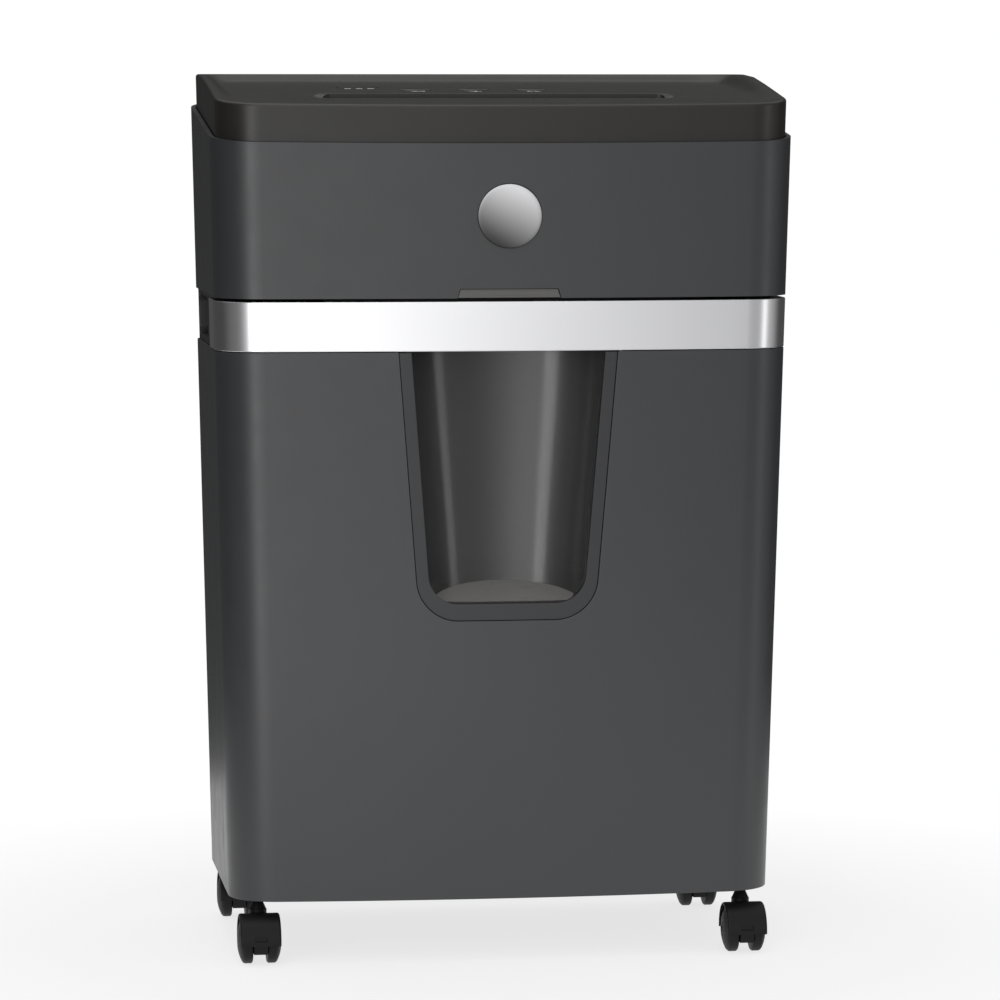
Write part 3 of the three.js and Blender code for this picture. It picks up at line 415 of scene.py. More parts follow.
def brushedLines():
    # Fine lines along one axis, as left by rolling or brushing.
    group, given, out = newGroup("brushedLines", {"Lines": 900.0, "Gloss": 0.3}, ["Roughness", "Height"])
    vector = given.outputs["Vector"]
    fine = node(group, "ShaderNodeTexNoise", {"Vector": vector, "Scale": given.outputs["Lines"]},
                Detail=2.0, Roughness=0.5).outputs["Fac"]
    cloud = noise(group, vector, 14.0, 3)
    tone = calc(group, "MULTIPLY", spread(group, fine, 0.985, 1.012), spread(group, cloud, 0.98, 1.01))
    rough = calc(group, "ADD", given.outputs["Gloss"], spread(group, fine, -0.015, 0.02))
    colour = toned(group, given.outputs["Colour"], tone)
    wire(group, out, {"Colour": colour, "Roughness": rough, "Height": fine})
    return group


grainGroup = mouldedGrain()
dustGroup = dustFilm()
brushGroup = brushedLines()


def rgb(red, green, blue):
    # Colour from everyday 0-255 values.
    def linear(value):
        value /= 255
        return value / 12.92 if value <= 0.04045 else ((value + 0.055) / 1.055) ** 2.4
    return (linear(red), linear(green), linear(blue), 1)


def newMaterial(name):
    material = bpy.data.materials.new(name)
    material.use_nodes = True
    tree = material.node_tree
    shader = tree.nodes["Principled BSDF"]
    axes = node(tree, "ShaderNodeTexCoord")
    return material, tree, shader, axes.outputs["Object"]


def useGroup(tree, group, links, **values):
    made = tree.nodes.new("ShaderNodeGroup")
    made.node_tree = group
    for key, value in values.items():
        made.inputs[key].default_value = value
    wire(tree, made, links)
    return made


def bump(tree, shader, height, strength, distance):
    made = node(tree, "ShaderNodeBump", {"Height": height}, Strength=strength, Distance=distance)
    tree.links.new(made.outputs["Normal"], shader.inputs["Normal"])


def plastic(name, colour, gloss=0.5, grain=1500.0, strength=0.25, dust=0.06, **fixed):
    material, tree, shader, vector = newMaterial(name)
    made = useGroup(tree, grainGroup, {"Vector": vector}, Colour=colour, Grain=grain, Gloss=gloss)
    film = useGroup(tree, dustGroup, {"Vector": vector, "Colour": made.outputs["Colour"]}, Amount=dust)
    rough = calc(tree, "ADD", made.outputs["Roughness"], calc(tree, "MULTIPLY", film.outputs["Mask"], 0.4))
    wire(tree, shader, {"Base Color": film.outputs["Colour"], "Roughness": rough})
    bump(tree, shader, made.outputs["Height"], strength, 0.00004)
    for key, value in fixed.items():
        shader.inputs[key.replace("_", " ")].default_value = value
    return material


def brushed(tree, shader, vector, stretch, strength, colour, lines, gloss):
    # Brushed metal whose lines run along the axis that is stretched least.
    mapping = node(tree, "ShaderNodeMapping", {"Vector": vector}, Scale=stretch)
    made = useGroup(tree, brushGroup, {"Vector": mapping.outputs[0]}, Colour=colour, Lines=lines, Gloss=gloss)
    wire(tree, shader, {"Base Color": made.outputs["Colour"], "Roughness": made.outputs["Roughness"]})
    bump(tree, shader, made.outputs["Height"], strength, 0.00002)
    shader.inputs["Metallic"].default_value = 1.0
    return made.outputs["Colour"]


def metal(name, colour, gloss=0.3, lines=900.0, stretch=(1, 1, 1), strength=0.12):
    material, tree, shader, vector = newMaterial(name)
    brushed(tree, shader, vector, stretch, strength, colour, lines, gloss)
    return material


greyShell = plastic("greyShell", rgb(44, 45, 47), gloss=0.36, dust=0.02, Specular_IOR_Level=0.62)
blackCover = plastic("blackCover", rgb(30, 28, 26), gloss=0.34, grain=1900.0, dust=0.0,
                     Specular_IOR_Level=0.45)
blackPart = plastic("blackPart", rgb(24, 24, 26), gloss=0.5)
collarBlack = plastic("collarBlack", rgb(24, 24, 25), gloss=0.36)
tubGrey = plastic("tubGrey", rgb(36, 36, 37), gloss=0.45, grain=900.0, strength=0.03)
castorBlack = plastic("castorBlack", rgb(15, 15, 16), gloss=0.42, grain=1200.0, dust=0.01,
                      Specular_IOR_Level=0.2)
wheelBlack = plastic("wheelBlack", rgb(15, 15, 16), gloss=0.5, grain=700.0, dust=0.01,
                     Specular_IOR_Level=0.22)
buttonBlack = plastic("buttonBlack", rgb(26, 26, 27), gloss=0.22, strength=0.08, dust=0.01)
bezelGrey = plastic("bezelGrey", rgb(38, 39, 41), gloss=0.4, dust=0.02)
# The finger scoop's light grey is painted light: it stands in for the light on the scoop's inner surface.
notchPaintedLightGrey = plastic("notchPaintedLightGrey", rgb(80, 79, 78), gloss=0.42, dust=0.02, Specular_IOR_Level=0.6)
printGrey = plastic("printGrey", rgb(196, 194, 190), gloss=0.45, strength=0.05, dust=0.0)
whiteNylon = plastic("whiteNylon", rgb(222, 220, 212), gloss=0.4, grain=600.0)
silverPaint = metal("silverPaint", rgb(226, 226, 228), gloss=0.25, lines=5200.0, stretch=(0.4, 0.4, 1),
                    strength=0.004)
rolledSteel = metal("rolledSteel", rgb(176, 178, 182), gloss=0.34, lines=700.0, stretch=(1, 0.06, 1))
cutterSteel = metal("cutterSteel", rgb(150, 151, 155), gloss=0.28, lines=900.0, stretch=(0.08, 1, 1))
bronze = metal("bronze", rgb(176, 138, 78), gloss=0.38, lines=1400.0)


def badgePaintedLight():
    # Satin plate with painted light: painted shade at the lower left, rising to a painted highlight at the
    # upper right.
    material, tree, shader, vector = newMaterial("silverBadge")
    plate = brushed(tree, shader, vector, (1, 0.1, 1), 0.03, (0.7, 0.7, 0.71, 1), 2600.0, 0.3)
    axes = node(tree, "ShaderNodeSeparateXYZ", {"Vector": vector})
    across = ramp(tree, axes.outputs["X"], -0.021, 0.021, -0.5, 0.5)
    upward = ramp(tree, axes.outputs["Z"], 0.4785, 0.5209, -0.5, 0.5)
    slant = calc(tree, "ADD", calc(tree, "MULTIPLY", across, 0.55), calc(tree, "MULTIPLY", upward, 0.85))
    # painted shade and painted highlight across the disc, fixed to the disc
    tone = calc(tree, "ADD", calc(tree, "POWER", ramp(tree, slant, -0.5, 0.5, 0.0, 1.0), 1.4), 0.06)
    wire(tree, shader, {"Base Color": toned(tree, plate, tone)})
    return material


def smokedPlastic():
    material, tree, shader, vector = newMaterial("smokedWindow")
    waves = noise(tree, vector, 22.0, 2)
    cloud = spread(tree, noise(tree, vector, 8.0, 2), 0.0, 1.0)
    tint = mixColour(tree, cloud, (0.24, 0.24, 0.24, 1), (0.27, 0.27, 0.267, 1))
    wire(tree, shader, {"Base Color": tint, "Roughness": spread(tree, waves, 0.17, 0.19)})
    bump(tree, shader, waves, 0.02, 0.0001)
    shader.inputs["Transmission Weight"].default_value = 0.88
    shader.inputs["IOR"].default_value = 1.5
    return material


def circuitBoard():
    # Green lacquer with copper tracks and pads under it.
    material, tree, shader, vector = newMaterial("circuitBoard")
    tracks = node(tree, "ShaderNodeTexVoronoi", {"Vector": vector}, distance="MANHATTAN",
                  feature="DISTANCE_TO_EDGE", Scale=160.0)
    mask = ramp(tree, tracks.outputs["Distance"], 0.03, 0.06, 1.0, 0.0)
    colour = mixColour(tree, mask, rgb(24, 74, 44), rgb(46, 108, 62))
    rough = spread(tree, noise(tree, vector, 300.0), 0.25, 0.4)
    wire(tree, shader, {"Base Color": colour, "Roughness": rough})
    bump(tree, shader, mask, 0.3, 0.00003)
    return material


silverBadge = badgePaintedLight()
smokedWindow = smokedPlastic()
# Lighter opaque grey for the hollow's floor: painted light, standing in for the light the floor catches.
paintedLightScoopFloor = plastic("paintedLightScoopFloor", rgb(116, 115, 113), gloss=0.3, strength=0.05, dust=0.02)
boardGreen = circuitBoard()
print("materials made")


head = {
    "coverRise": 30, "coverInset": 3.8, "coverWall": 2.5, "skirt": 6, "rimFront": 572.1,
    "rimSlope": 0.135, "rimEase": 3, "rimRound": 2, "rimFlat": 7.2, "dishEdge": 21, "panel": 572.8,
    "panelSlope": 0.0695, "slotCentre": 74, "slotHalf": 116.5, "slotWidth": 12,
    "slotCuts": (-13, -11, -9, -7, -6, 0, 3, 5, 6, 8, 11, 14, 16, 18), "ridge": 1.7, "chamfer": 1.3,
    "notchHalf": 35, "notchHeight": 6.3, "notchSlant": 2.3, "notchFoot": 1.6, "badge": 21.2,
    "badgeLevel": 499.7, "badgeSink": 1.2, "badgeThick": 1.6, "badgeDome": 0.5, "buttonX": -7,
    "buttonRow": 137, "buttonPitch": 40, "buttonHalfX": 11, "buttonHalfY": 6, "buttonProud": 0.8,
    "lensX": -84, "lensRow": 160, "lensHalfX": 14, "lensHalfY": 4.5, "vents": 7, "ventPitch": 10,
    "ventHalf": 2, "ventX": 75, "ventLow": 468, "ventHigh": 502, "switchX": -130, "switchLevel": 484,
    "switchHalfX": 13, "switchHalfZ": 9, "glandLevel": 462, "gland": 8,
}


def softMin(a, b, ease):
    return (a + b - math.sqrt((a - b) ** 2 + ease ** 2)) / 2


def rise(low, high, value):
    # Eased step from 0 to 1 between two values.
    share = min(1, max(0, (value - low) / (high - low)))
    return share * share * (3 - 2 * share)


def seamLevel(y):
    return casing["seam"] + casing["seamSlope"] * y


def rimLevel(y):
    return softMin(head["rimFront"] + head["rimSlope"] * y, levels["top"] + 0.15, head["rimEase"])


def panelLevel(y):
    return head["panel"] + head["panelSlope"] * y


def coverLevel(x, y, code):
    # The ring code says where on the cover's section a point lies: skirt, edge, rim or dish.
    if code < -10:
        return seamLevel(y) - head["skirt"]
    if code <= 0:
        return rimLevel(y) + code
    drop = rimLevel(y) - panelLevel(y)
    drop = (drop + math.sqrt(drop ** 2 + 0.8)) / 2
    level = rimLevel(y) - drop * rise(0, 1, code)
    slot = head["slotCentre"]
    across = 1 - rise(head["slotHalf"] + 1, head["slotHalf"] + 7, abs(x))
    level += head["ridge"] * across * rise(slot + 18, slot + 8, y) * rise(slot + 2, slot + 7, y)
    level -= head["chamfer"] * across * rise(slot - 13, slot - 6, y) * (1 - rise(slot, slot + 6, y))
    return level


def topCover():
    inset, edge = head["coverInset"], head["rimRound"]
    rings = [(inset, -20)]
    for step in range(7):
        angle = math.pi / 2 * step / 6
        rings.append((inset + edge * (1 - math.cos(angle)), -edge * (1 - math.sin(angle))))
    for step in range(10):
        share = step / 9
        rings.append((head["rimFlat"] + (head["dishEdge"] - head["rimFlat"]) * share, max(share, 0.001)))
    bm = bmesh.new()
    loops = [planRing(bm, inset, code) for inset, code in rings]
    bridged(bm, loops, caps=(-1,))
    slot = head["slotCentre"]
    across = [26, 30, 33, 35, 36.8, 39, 42, 47] + [slot + off for off in head["slotCuts"]]
    across += [110, 150, 185, 190, 194, 196, 198, 201]
    along = [head["slotHalf"] + reach for reach in (0, 1, 2.5, 4, 5.5, 7)]
    for y in across:
        sliced(bm, (0, y, 0), (0, 1, 0))
    for x in along + [-a for a in along]:
        sliced(bm, (x, 0, 0), (1, 0, 0))
    for vert in bm.verts:
        code = vert.co.z
        stretch = 1 + casing["frontDraft"] * head["coverRise"] / depth
        leaning = depth - (depth - vert.co.y) * stretch
        vert.co.z = coverLevel(vert.co.x, leaning, code)
    drawIn(bm)
    merged(bm)
    if max(bm.faces, key=lambda f: f.calc_center_median().z).normal.z < 0:
        bmesh.ops.reverse_faces(bm, faces=bm.faces)
    return bm


def onPanel(bm, x, y):
    # Moves a piece drawn about the origin to a point on the panel, square to it.
    tilt = Matrix.Rotation(math.atan(head["panelSlope"]), 4, "X")
    bmesh.ops.transform(bm, matrix=Matrix.Translation((x, y, panelLevel(y))) @ tilt, verts=bm.verts)
    return bm


def ovalBody(halfX, halfY, low, high, crown=0.0, segments=56):
    # An upright oval, with a soft crown on top.
    steps = [(1, low), (1, high - crown)]
    for step in range(1, 6):
        angle = math.pi / 2 * step / 5
        size = 1 - 0.16 * (1 - math.cos(angle)) - 0.1 * step / 5
        steps.append((size, high - crown * (1 - math.sin(angle))))
    if not crown:
        steps = [(1, low), (1, high)]
    bm = bmesh.new()
    loops = [ovalRing(bm, halfX * size, halfY * size, 0, level, segments) for size, level in steps]
    return merged(bridged(bm, loops, caps=(0, -1)))


def makeCover():
    toSolid = topCover()
    toFrame(toSolid)
    piece = newObject("topCover", toSolid)
    thick = piece.modifiers.new("thickness", "SOLIDIFY")
    thick.thickness = head["coverWall"] / 1000
    thick.offset = -1
    freeze(piece)
    half, width, slot = head["slotHalf"], head["slotWidth"], head["slotCentre"]
    tools = [block(-half, half, slot - width / 2, slot + width / 2, 550, 600, round=5.9, along="z")]
    for side in (-1, 0, 1):
        hole = ovalBody(head["buttonHalfX"] + gap, head["buttonHalfY"] + gap, -15, 15)
        tools.append(onPanel(hole, head["buttonX"] + side * head["buttonPitch"], head["buttonRow"]))
    lensX, lensY = head["lensHalfX"] + gap, head["lensHalfY"] + gap
    lens = block(-lensX, lensX, -lensY, lensY, -15, 15)
    tools.append(onPanel(lens, head["lensX"], head["lensRow"]))
    carve(piece, tools)
    soften(piece, 0.45, 2, 50)
    shade(piece, 40)
    return place(piece, blackCover, "cabinet", "black_cover", ["top_cover"])


def notchPrism(grow, near, far):
    half, slant, height = head["notchHalf"], head["notchSlant"], head["notchHeight"]
    low, high = levels["headBottom"] - 1, levels["headBottom"] + height + grow
    shape = flatShape([
        (-half - grow, near, low), (half + grow, near, low),
        (half - slant + grow, near, high), (-half + slant - grow, near, high),
    ])
    return drawnOut(shape, (0, far - near, 0))


def squareToFront(bm, level):
    # Turns a piece drawn along y to stand square on the leaning front at a level.
    lean = Matrix.Rotation(-math.atan(casing["frontDraft"]), 4, "X")
    shift = Matrix.Translation((0, casing["frontDraft"] * (casing["seam"] - level), level))
    bmesh.ops.transform(bm, matrix=shift @ lean, verts=bm.verts)
    return bm


def makeHeadShell():
    rings = [(0, levels["headBottom"]), (0, seamLevel), (wall, seamLevel), (wall, levels["headBottom"])]
    bm = ringBody(rings)
    tools = [notchPrism(0, -10, 12)]
    pocket = rod(head["badge"] + gap, head["badgeSink"], -30, "y", 72)
    tools.append(squareToFront(pocket, head["badgeLevel"]))
    for i in range(head["vents"]):
        x = head["ventX"] + (i - (head["vents"] - 1) / 2) * head["ventPitch"]
        tools.append(block(x - head["ventHalf"], x + head["ventHalf"], depth - 6, depth + 1,
                           head["ventLow"], head["ventHigh"], round=1.9, along="y"))
    x, halfX = head["switchX"], head["switchHalfX"] + gap
    z, halfZ = head["switchLevel"], head["switchHalfZ"] + gap
    tools.append(block(x - halfX, x + halfX, depth - 6, depth + 1, z - halfZ, z + halfZ, round=1, along="y"))
    tools.append(rod(head["gland"] + gap, -9, 3, "y", 40, (x, depth, head["glandLevel"])))
    return addPiece("headShell", bm, greyShell, "cabinet", "grey_shell", ["head_shell"], edge=0.7, segments=3,
                    carved=[(tools, "DIFFERENCE")])


def makeNotch():
    outer = notchPrism(-gap, -1, 15)
    inner = notchPrism(-gap - 0.8, -3, 5.3)
    toFrame(outer)
    piece = newObject("fingerScoop", outer)
    carve(piece, [casingSolid(0.9, levels["headBottom"] + gap, 480)], "INTERSECT")
    sliced(inner, (0, 0, levels["headBottom"] + head["notchFoot"]), (0, 0, -1), clear=True)
    carve(piece, [merged(inner)])
    soften(piece, 0.3, 2)
    shade(piece)
    return place(piece, notchPaintedLightGrey, "cabinet", "grey_shell", ["finger_scoop"])


def makeBadge():
    # A plain turned disc with a slightly domed face and a soft edge.
    radius, sink = head["badge"], head["badgeSink"] - gap
    face = sink - head["badgeThick"]
    profile = [[0, sink], [radius, sink], [radius, face + 0.5], [radius - 0.18, face + 0.15],
               [radius - 0.6, face]]
    for share in (0.9, 0.8, 0.65, 0.5, 0.3, 0.15, 0):
        profile.append([radius * share, face - head["badgeDome"] * (1 - share ** 2)])
    bm = squareToFront(turned(profile, "y", 96), head["badgeLevel"])
    return addPiece("badgeDisc", bm, silverBadge, "cabinet", "silver_plate", ["badge_disc"], edge=0, angle=40)


def makeButtons():
    halfX, halfY, cover = head["buttonHalfX"], head["buttonHalfY"], head["coverWall"]
    for side, name in zip((-1, 0, 1), ("reverse", "auto", "forward")):
        cap = ovalBody(halfX, halfY, -cover - 1, head["buttonProud"], crown=0.7)
        flange = ovalBody(halfX + 2, halfY + 2, -cover - 1.5, -cover - 0.5)
        post = block(-2, 2, -2, 2, -cover - 4, -cover - 1)
        x, body = head["buttonX"] + side * head["buttonPitch"], "button_" + name
        bm = onPanel(joined(cap, flange, post), x, head["buttonRow"])
        addPiece("button" + name.capitalize(), bm, buttonBlack, body, "button_black", [body],
                 edge=0.15, angle=30)


def makeLens():
    halfX, halfY, cover = head["lensHalfX"], head["lensHalfY"], head["coverWall"]
    face = block(-halfX, halfX, -halfY, halfY, -cover - 1, 0.2, round=1.5)
    lip = block(-halfX - 1.5, halfX + 1.5, -halfY - 1.5, halfY + 1.5, -cover - 1.5, -cover - gap)
    bm = onPanel(joined(face, lip), head["lensX"], head["lensRow"])
    return addPiece("indicatorLens", bm, buttonBlack, "cabinet", "smoked_window", ["indicator_lens"],
                    edge=0.2)


def makePrints():
    # Generic pictograms, printed as a thin film: bars and arrowheads beside the controls.
    marks = []
    film = 0.12

    def bar(x, y, halfX, halfY):
        marks.append(onPanel(block(-halfX, halfX, -halfY, halfY, -0.05, film), x, y))

    def arrow(x, y, size, way):
        shape = flatShape([(-way * size, -size, -0.05), (way * size, 0, -0.05), (-way * size, size, -0.05)])
        marks.append(onPanel(drawnOut(shape, (0, 0, film + 0.05)), x, y))

    row = head["buttonRow"] - 13
    centre, pitch = head["buttonX"], head["buttonPitch"]
    arrow(centre - pitch - 2, row, 2.2, -1)
    arrow(centre - pitch + 3, row, 2.2, -1)
    bar(centre, row, 1, 2.6)
    bar(centre, row, 4, 0.6)
    arrow(centre + pitch - 2, row, 2.2, 1)
    arrow(centre + pitch + 3, row, 2.2, 1)
    for i in range(3):
        x = head["lensX"] - 8 + 8 * i
        bar(x, head["lensRow"] - 9.5, 2.2, 0.5)
        bar(x, head["lensRow"] - 11.5, 2.2, 0.5)
    return addPiece("panelPrints", joined(*marks), printGrey, "cabinet", "white_plastic", edge=0)


def makeRearFittings():
    x, z = head["switchX"], head["switchLevel"]
    halfX, halfZ = head["switchHalfX"], head["switchHalfZ"]
    bezel = block(x - halfX, x + halfX, depth - 14, depth - gap / 2, z - halfZ, z + halfZ, round=1, along="y")
    hollow = block(x - halfX + 3, x + halfX - 3, depth - 10, depth + 1, z - halfZ + 2, z + halfZ - 2)
    addPiece("rockerFrame", bezel, blackPart, "cabinet", "black_part", ["rocker_frame"], edge=0.3,
             carved=[([hollow], "DIFFERENCE")])
    halfSide, tall = halfX - 3 - gap, halfZ - 2 - 2 * gap
    side = flatShape([(x - halfSide, depth - 6, z - tall + 1), (x - halfSide, depth - 0.9, z - tall),
                      (x - halfSide, depth - 1.5, z), (x - halfSide, depth - 0.9, z + tall),
                      (x - halfSide, depth - 6, z + tall - 1)])
    key = drawnOut(side, (2 * halfSide, 0, 0))
    addPiece("rockerKey", key, buttonBlack, "rocker", "button_black", ["rocker"], edge=0.35)
    marks = joined(
        block(x - 0.35, x + 0.35, depth - 1.25, depth - 1.0, z + 2.2, z + 4.8),
        turned([[1.0, -0.12], [1.4, -0.12], [1.4, 0.12], [1.0, 0.12]], "y", 24, (x, depth - 1.12, z - 3.4)),
    )
    addPiece("rockerMarks", marks, printGrey, "rocker", "white_plastic", edge=0)
    gland = head["gland"]
    profile = [[3.6, -9], [gland + 2, -9], [gland + 2, -wall - gap], [gland, -wall - gap],
               [gland, -gap - 0.5], [gland - 0.5, -gap], [4.2, -gap], [3.6, -gap - 0.6]]
    bm = turned(profile, "y", 48, (x, depth, head["glandLevel"]))
    addPiece("cordGland", bm, blackPart, "cabinet", "black_part", ["cord_gland"], edge=0.2)


makeCover()
makeHeadShell()
makeNotch()
makeBadge()
makeButtons()
makeLens()
makePrints()
makeRearFittings()
print("head made")


drawer = {
    "return": 86, "bandFoot": 410.4, "tongue": 8, "tongueWall": 1.6, "lip": 9, "window": 231,
    "windowHalf": 72.8, "windowTaper": 0.0795, "windowCorner": 28, "bezelSide": 8, "bezelFoot": 11,
    "bezelSink": 0.7, "bezelDeep": 5, "nicheDepth": 43, "nicheFront": 6, "nicheSquare": 0.96,
    "nicheWall": 2.2, "nicheEdge": 0.6, "scoopTop": 424, "scoopFoot": 300, "tubInset": 12, "tubWall": 2.5,
    "tubFloor": 64, "tubTop": 400, "tabRear": 82, "tabTop": 439, "floorRise": 0.34, "floorFront": 12,
    "ribs": (366, 352, 262, 248), "ribHalf": 150, "ribHeight": 8, "ribThick": 5,
}


def windowPrism(side, foot, top, near=-30, far=110):
    # The window's outline, drawn in by side and foot, as a prism through the front.
    corner = drawer["windowCorner"] - side
    low = drawer["window"] + foot
    taper = drawer["windowTaper"]

    def half(z):
        return drawer["windowHalf"] - side - taper * (levels["cabinetTop"] - z)

    shape = flatShape([(-half(top), near, top), (-half(low), near, low),
                       (half(low), near, low), (half(top), near, top)])
    bm = drawnOut(shape, (0, far - near, 0))
    edges = [e for e in bm.edges
             if abs(e.verts[0].co.y - e.verts[1].co.y) > 1 and e.verts[0].co.z < low + 0.1]
    bevelEdges(bm, edges, corner * math.tan((math.pi / 2 - math.atan(taper)) / 2), 14)
    return merged(bm)


def cabinetShells():
    low, high, split = levels["cabinetBottom"], levels["cabinetTop"], drawer["return"]
    rear = casingWall(0, wall, low, high)
    addPiece("cabinetShell", rear, greyShell, "cabinet", "grey_shell", ["cabinet_shell"], edge=0.7,
             segments=3, carved=[([slab(-beyond, split + gap / 2)], "DIFFERENCE")])
    front = casingWall(0, wall, low + gap, high)
    tools = [slab(split - gap / 2, behindAll), windowPrism(-gap, -gap, high + 1)]
    addPiece("drawerFront", front, greyShell, "drawer", "grey_shell", ["drawer_front"], edge=0.7, segments=3,
             carved=[(tools, "DIFFERENCE")])


def makeBezel():
    bm = casingWall(drawer["bezelSink"], drawer["bezelDeep"], drawer["window"] - 10,
                    levels["cabinetTop"] - gap)
    outline = windowPrism(0, 0, levels["cabinetTop"] + 1)
    hole = windowPrism(drawer["bezelSide"], drawer["bezelFoot"], levels["cabinetTop"] + 5, -40, 120)
    addPiece("windowBezel", bm, bezelGrey, "drawer", "grey_shell", ["window_bezel"], edge=0.8, segments=3,
             carved=[([outline], "INTERSECT"), ([hole], "DIFFERENCE")])


def nicheBody(grow, top):
    # The hollow behind the window: an upright half oval that narrows downwards, with a floor that
    # climbs to the rear.
    low = drawer["window"] + drawer["bezelFoot"] - grow
    taper = drawer["windowTaper"]
    bm = bmesh.new()
    loops = []
    for level in (low - 10, low + 60, low + 120, top):
        half = drawer["windowHalf"] - drawer["bezelSide"] + grow - taper * (levels["cabinetTop"] - level)
        loops.append(ovalRing(bm, half + 0.6, drawer["nicheDepth"] + grow, drawer["nicheFront"], level, 120,
                              drawer["nicheSquare"]))
    bridged(bm, loops, caps=(0, -1))
    return merged(sliced(bm, (0, drawer["floorFront"], low), (0, drawer["floorRise"], -1), clear=True))


def makeScoop():
    grow = drawer["nicheEdge"] + drawer["nicheWall"]
    outer = nicheBody(grow, drawer["scoopTop"])
    inner = nicheBody(drawer["nicheEdge"], drawer["scoopTop"] + 1)
    side, foot = drawer["bezelSide"], drawer["bezelFoot"]
    toFrame(outer)
    piece = newObject("windowScoop", outer)
    carve(piece, [windowPrism(side - grow, foot - grow, drawer["scoopTop"] + 0.5)], "INTERSECT")
    toFrame(inner)
    tool = newObject("niche", inner)
    edge = drawer["nicheEdge"]
    carve(tool, [windowPrism(side - edge, foot - edge, drawer["scoopTop"] + 2)], "INTERSECT")
    step = piece.modifiers.new("hollow", "BOOLEAN")
    step.object = tool
    step.solver = "EXACT"
    freeze(piece)
    bpy.data.meshes.remove(tool.data)
    inside = casingSolid(drawer["bezelDeep"] + gap, drawer["window"] - 10, drawer["scoopTop"] + 5)
    carve(piece, [inside], "INTERSECT")
    shade(piece, 30)
    place(piece, smokedWindow, "drawer", "smoked_window", ["window_scoop"])
    # Upward faces low in the hollow take the lighter grey, as painted light on the floor.
    piece.data.materials.append(paintedLightScoopFloor)
    for face in piece.data.polygons:
        if face.normal.z > 0.8 and face.center.z * 1000 < drawer["scoopFoot"]:
            face.material_index = 1


def makeBand():
    foot, top, tongue = drawer["bandFoot"], levels["bandTop"], levels["cabinetTop"] - drawer["tongue"]
    near, far, lip = wall + gap, wall + gap + drawer["tongueWall"], wall + drawer["lip"]
    rings = [(0, foot), (0, top), (lip, top), (lip, top - 2.5), (wall, top - 2.5), (wall, foot + 2.5),
             (far, foot + 2.5), (far, tongue), (near, tongue), (near, foot)]
    bm = ringBody(rings)
    half = drawer["windowHalf"] + 2
    tools = [slab(drawer["return"] - gap / 2, behindAll), block(-half, half, -beyond, 60, tongue - 1, foot)]
    addPiece("silverBand", bm, silverPaint, "drawer", "silver_plate", ["silver_band"], edge=0.8, segments=3,
             carved=[(tools, "DIFFERENCE")])


def makeCollar():
    low, high = levels["cabinetTop"] + gap, levels["headBottom"] - gap
    inner, tongue = wall + gap + 3, levels["cabinetTop"] - drawer["tongue"]
    rings = [(1.5, low), (1.5, high), (inner, high), (inner, tongue), (wall + gap, tongue), (wall + gap, low)]
    bm = ringBody(rings)
    half, sink, front, rear = casing["halfWidth"], 13, 116, 192
    reach = half - sink - 9
    boxes, pockets = [], []
    for side in (-1, 1):
        x0, x1 = sorted((side * reach, side * (half - 8)))
        boxes.append(block(x0, x1, front - 3, rear + 3, low + 1, high))
        x0, x1 = sorted((side * (reach + 3), side * (half + 5)))
        pockets.append(block(x0, x1, front, rear, low + 4, high - 3, round=6, along="x"))
    ahead = slab(-beyond, drawer["return"] + gap / 2)
    addPiece("cabinetCollar", bm, collarBlack, "cabinet", "black_part", ["cabinet_collar"], edge=0.6,
             carved=[(boxes, "UNION"), ([ahead] + pockets, "DIFFERENCE")])


def makeTub():
    inset, thick, floor, top = drawer["tubInset"], drawer["tubWall"], drawer["tubFloor"], drawer["tubTop"]
    rim = wall + gap
    rings = [(inset, floor), (inset, top - thick), (rim, top - thick), (rim, top), (inset + thick, top),
             (inset + thick, floor + thick)]
    bm = ringBody(rings, closed=False)
    half = drawer["windowHalf"] + 2
    grow = drawer["nicheEdge"] + drawer["nicheWall"] + gap
    tabIn = casing["halfWidth"] - inset - 9
    tools = [
        nicheBody(grow, drawer["scoopTop"]),
        block(-half, half, -beyond, inset - 1, top - 2 * thick, top + 1),
        block(-300, -tabIn, drawer["tabRear"], behindAll, top - thick, top + 1),
        block(tabIn, 300, drawer["tabRear"], behindAll, top - thick, top + 1),
        block(-300, 300, depth - inset + 0.5, behindAll, top - 2 * thick, top + 1),
    ]
    switchX = casing["halfWidth"] - 15
    extra = [block(switchX - 2, switchX + 2, drawer["tabRear"] - 3, drawer["tabRear"], top - 4,
                   drawer["tabTop"], round=0.8, along="y")]
    for side in (-1, 1):
        edge = side * (120 - 4 - gap)
        x0, x1 = sorted((edge, edge - side * 3))
        extra.append(block(x0, x1, 50, depth - 22, floor - 10, floor + 1))
    ribHalf, ribRear = drawer["ribHalf"], depth - inset - 1
    for level in drawer["ribs"]:
        extra.append(block(-ribHalf, ribHalf, ribRear - drawer["ribThick"], ribRear, level,
                           level + drawer["ribHeight"], round=1.5, along="x"))
    tub = addPiece("binTub", bm, tubGrey, "drawer", "black_part", ["bin_tub"], edge=0.4,
                   carved=[(tools, "DIFFERENCE"), (extra, "UNION")])
    tub.data.materials.append(blackPart)
    ribFace, slack = ribRear - depth / 2 + 0.1, 1
    for face in tub.data.polygons:
        x, y, z = face.center * 1000
        if ribFace - drawer["ribThick"] - slack < y < ribFace and 240 < z < 380 and abs(x) < ribHalf + slack:
            face.material_index = 1


cabinetShells()
makeBezel()
makeScoop()
makeBand()
makeCollar()
makeTub()
print("cabinet and drawer made")


castor = {
    "x": 164.6, "frontY": 48, "rearY": 206, "wheel": 15.5, "width": 9.6, "trail": 11, "web": 4.6,
    "play": 0.3, "hoodIn": 16.3, "hoodOut": 17.9, "hoodHalf": 13.6, "stem": 4, "axle": 2, "stemTop": 59.6,
    "webFoot": 8, "hoodTurn": 190, "hoodRound": 1.4, "markHalf": 4.4, "markDeep": 1.1, "markLow": 16.8,
    "markHigh": 20.6,
}


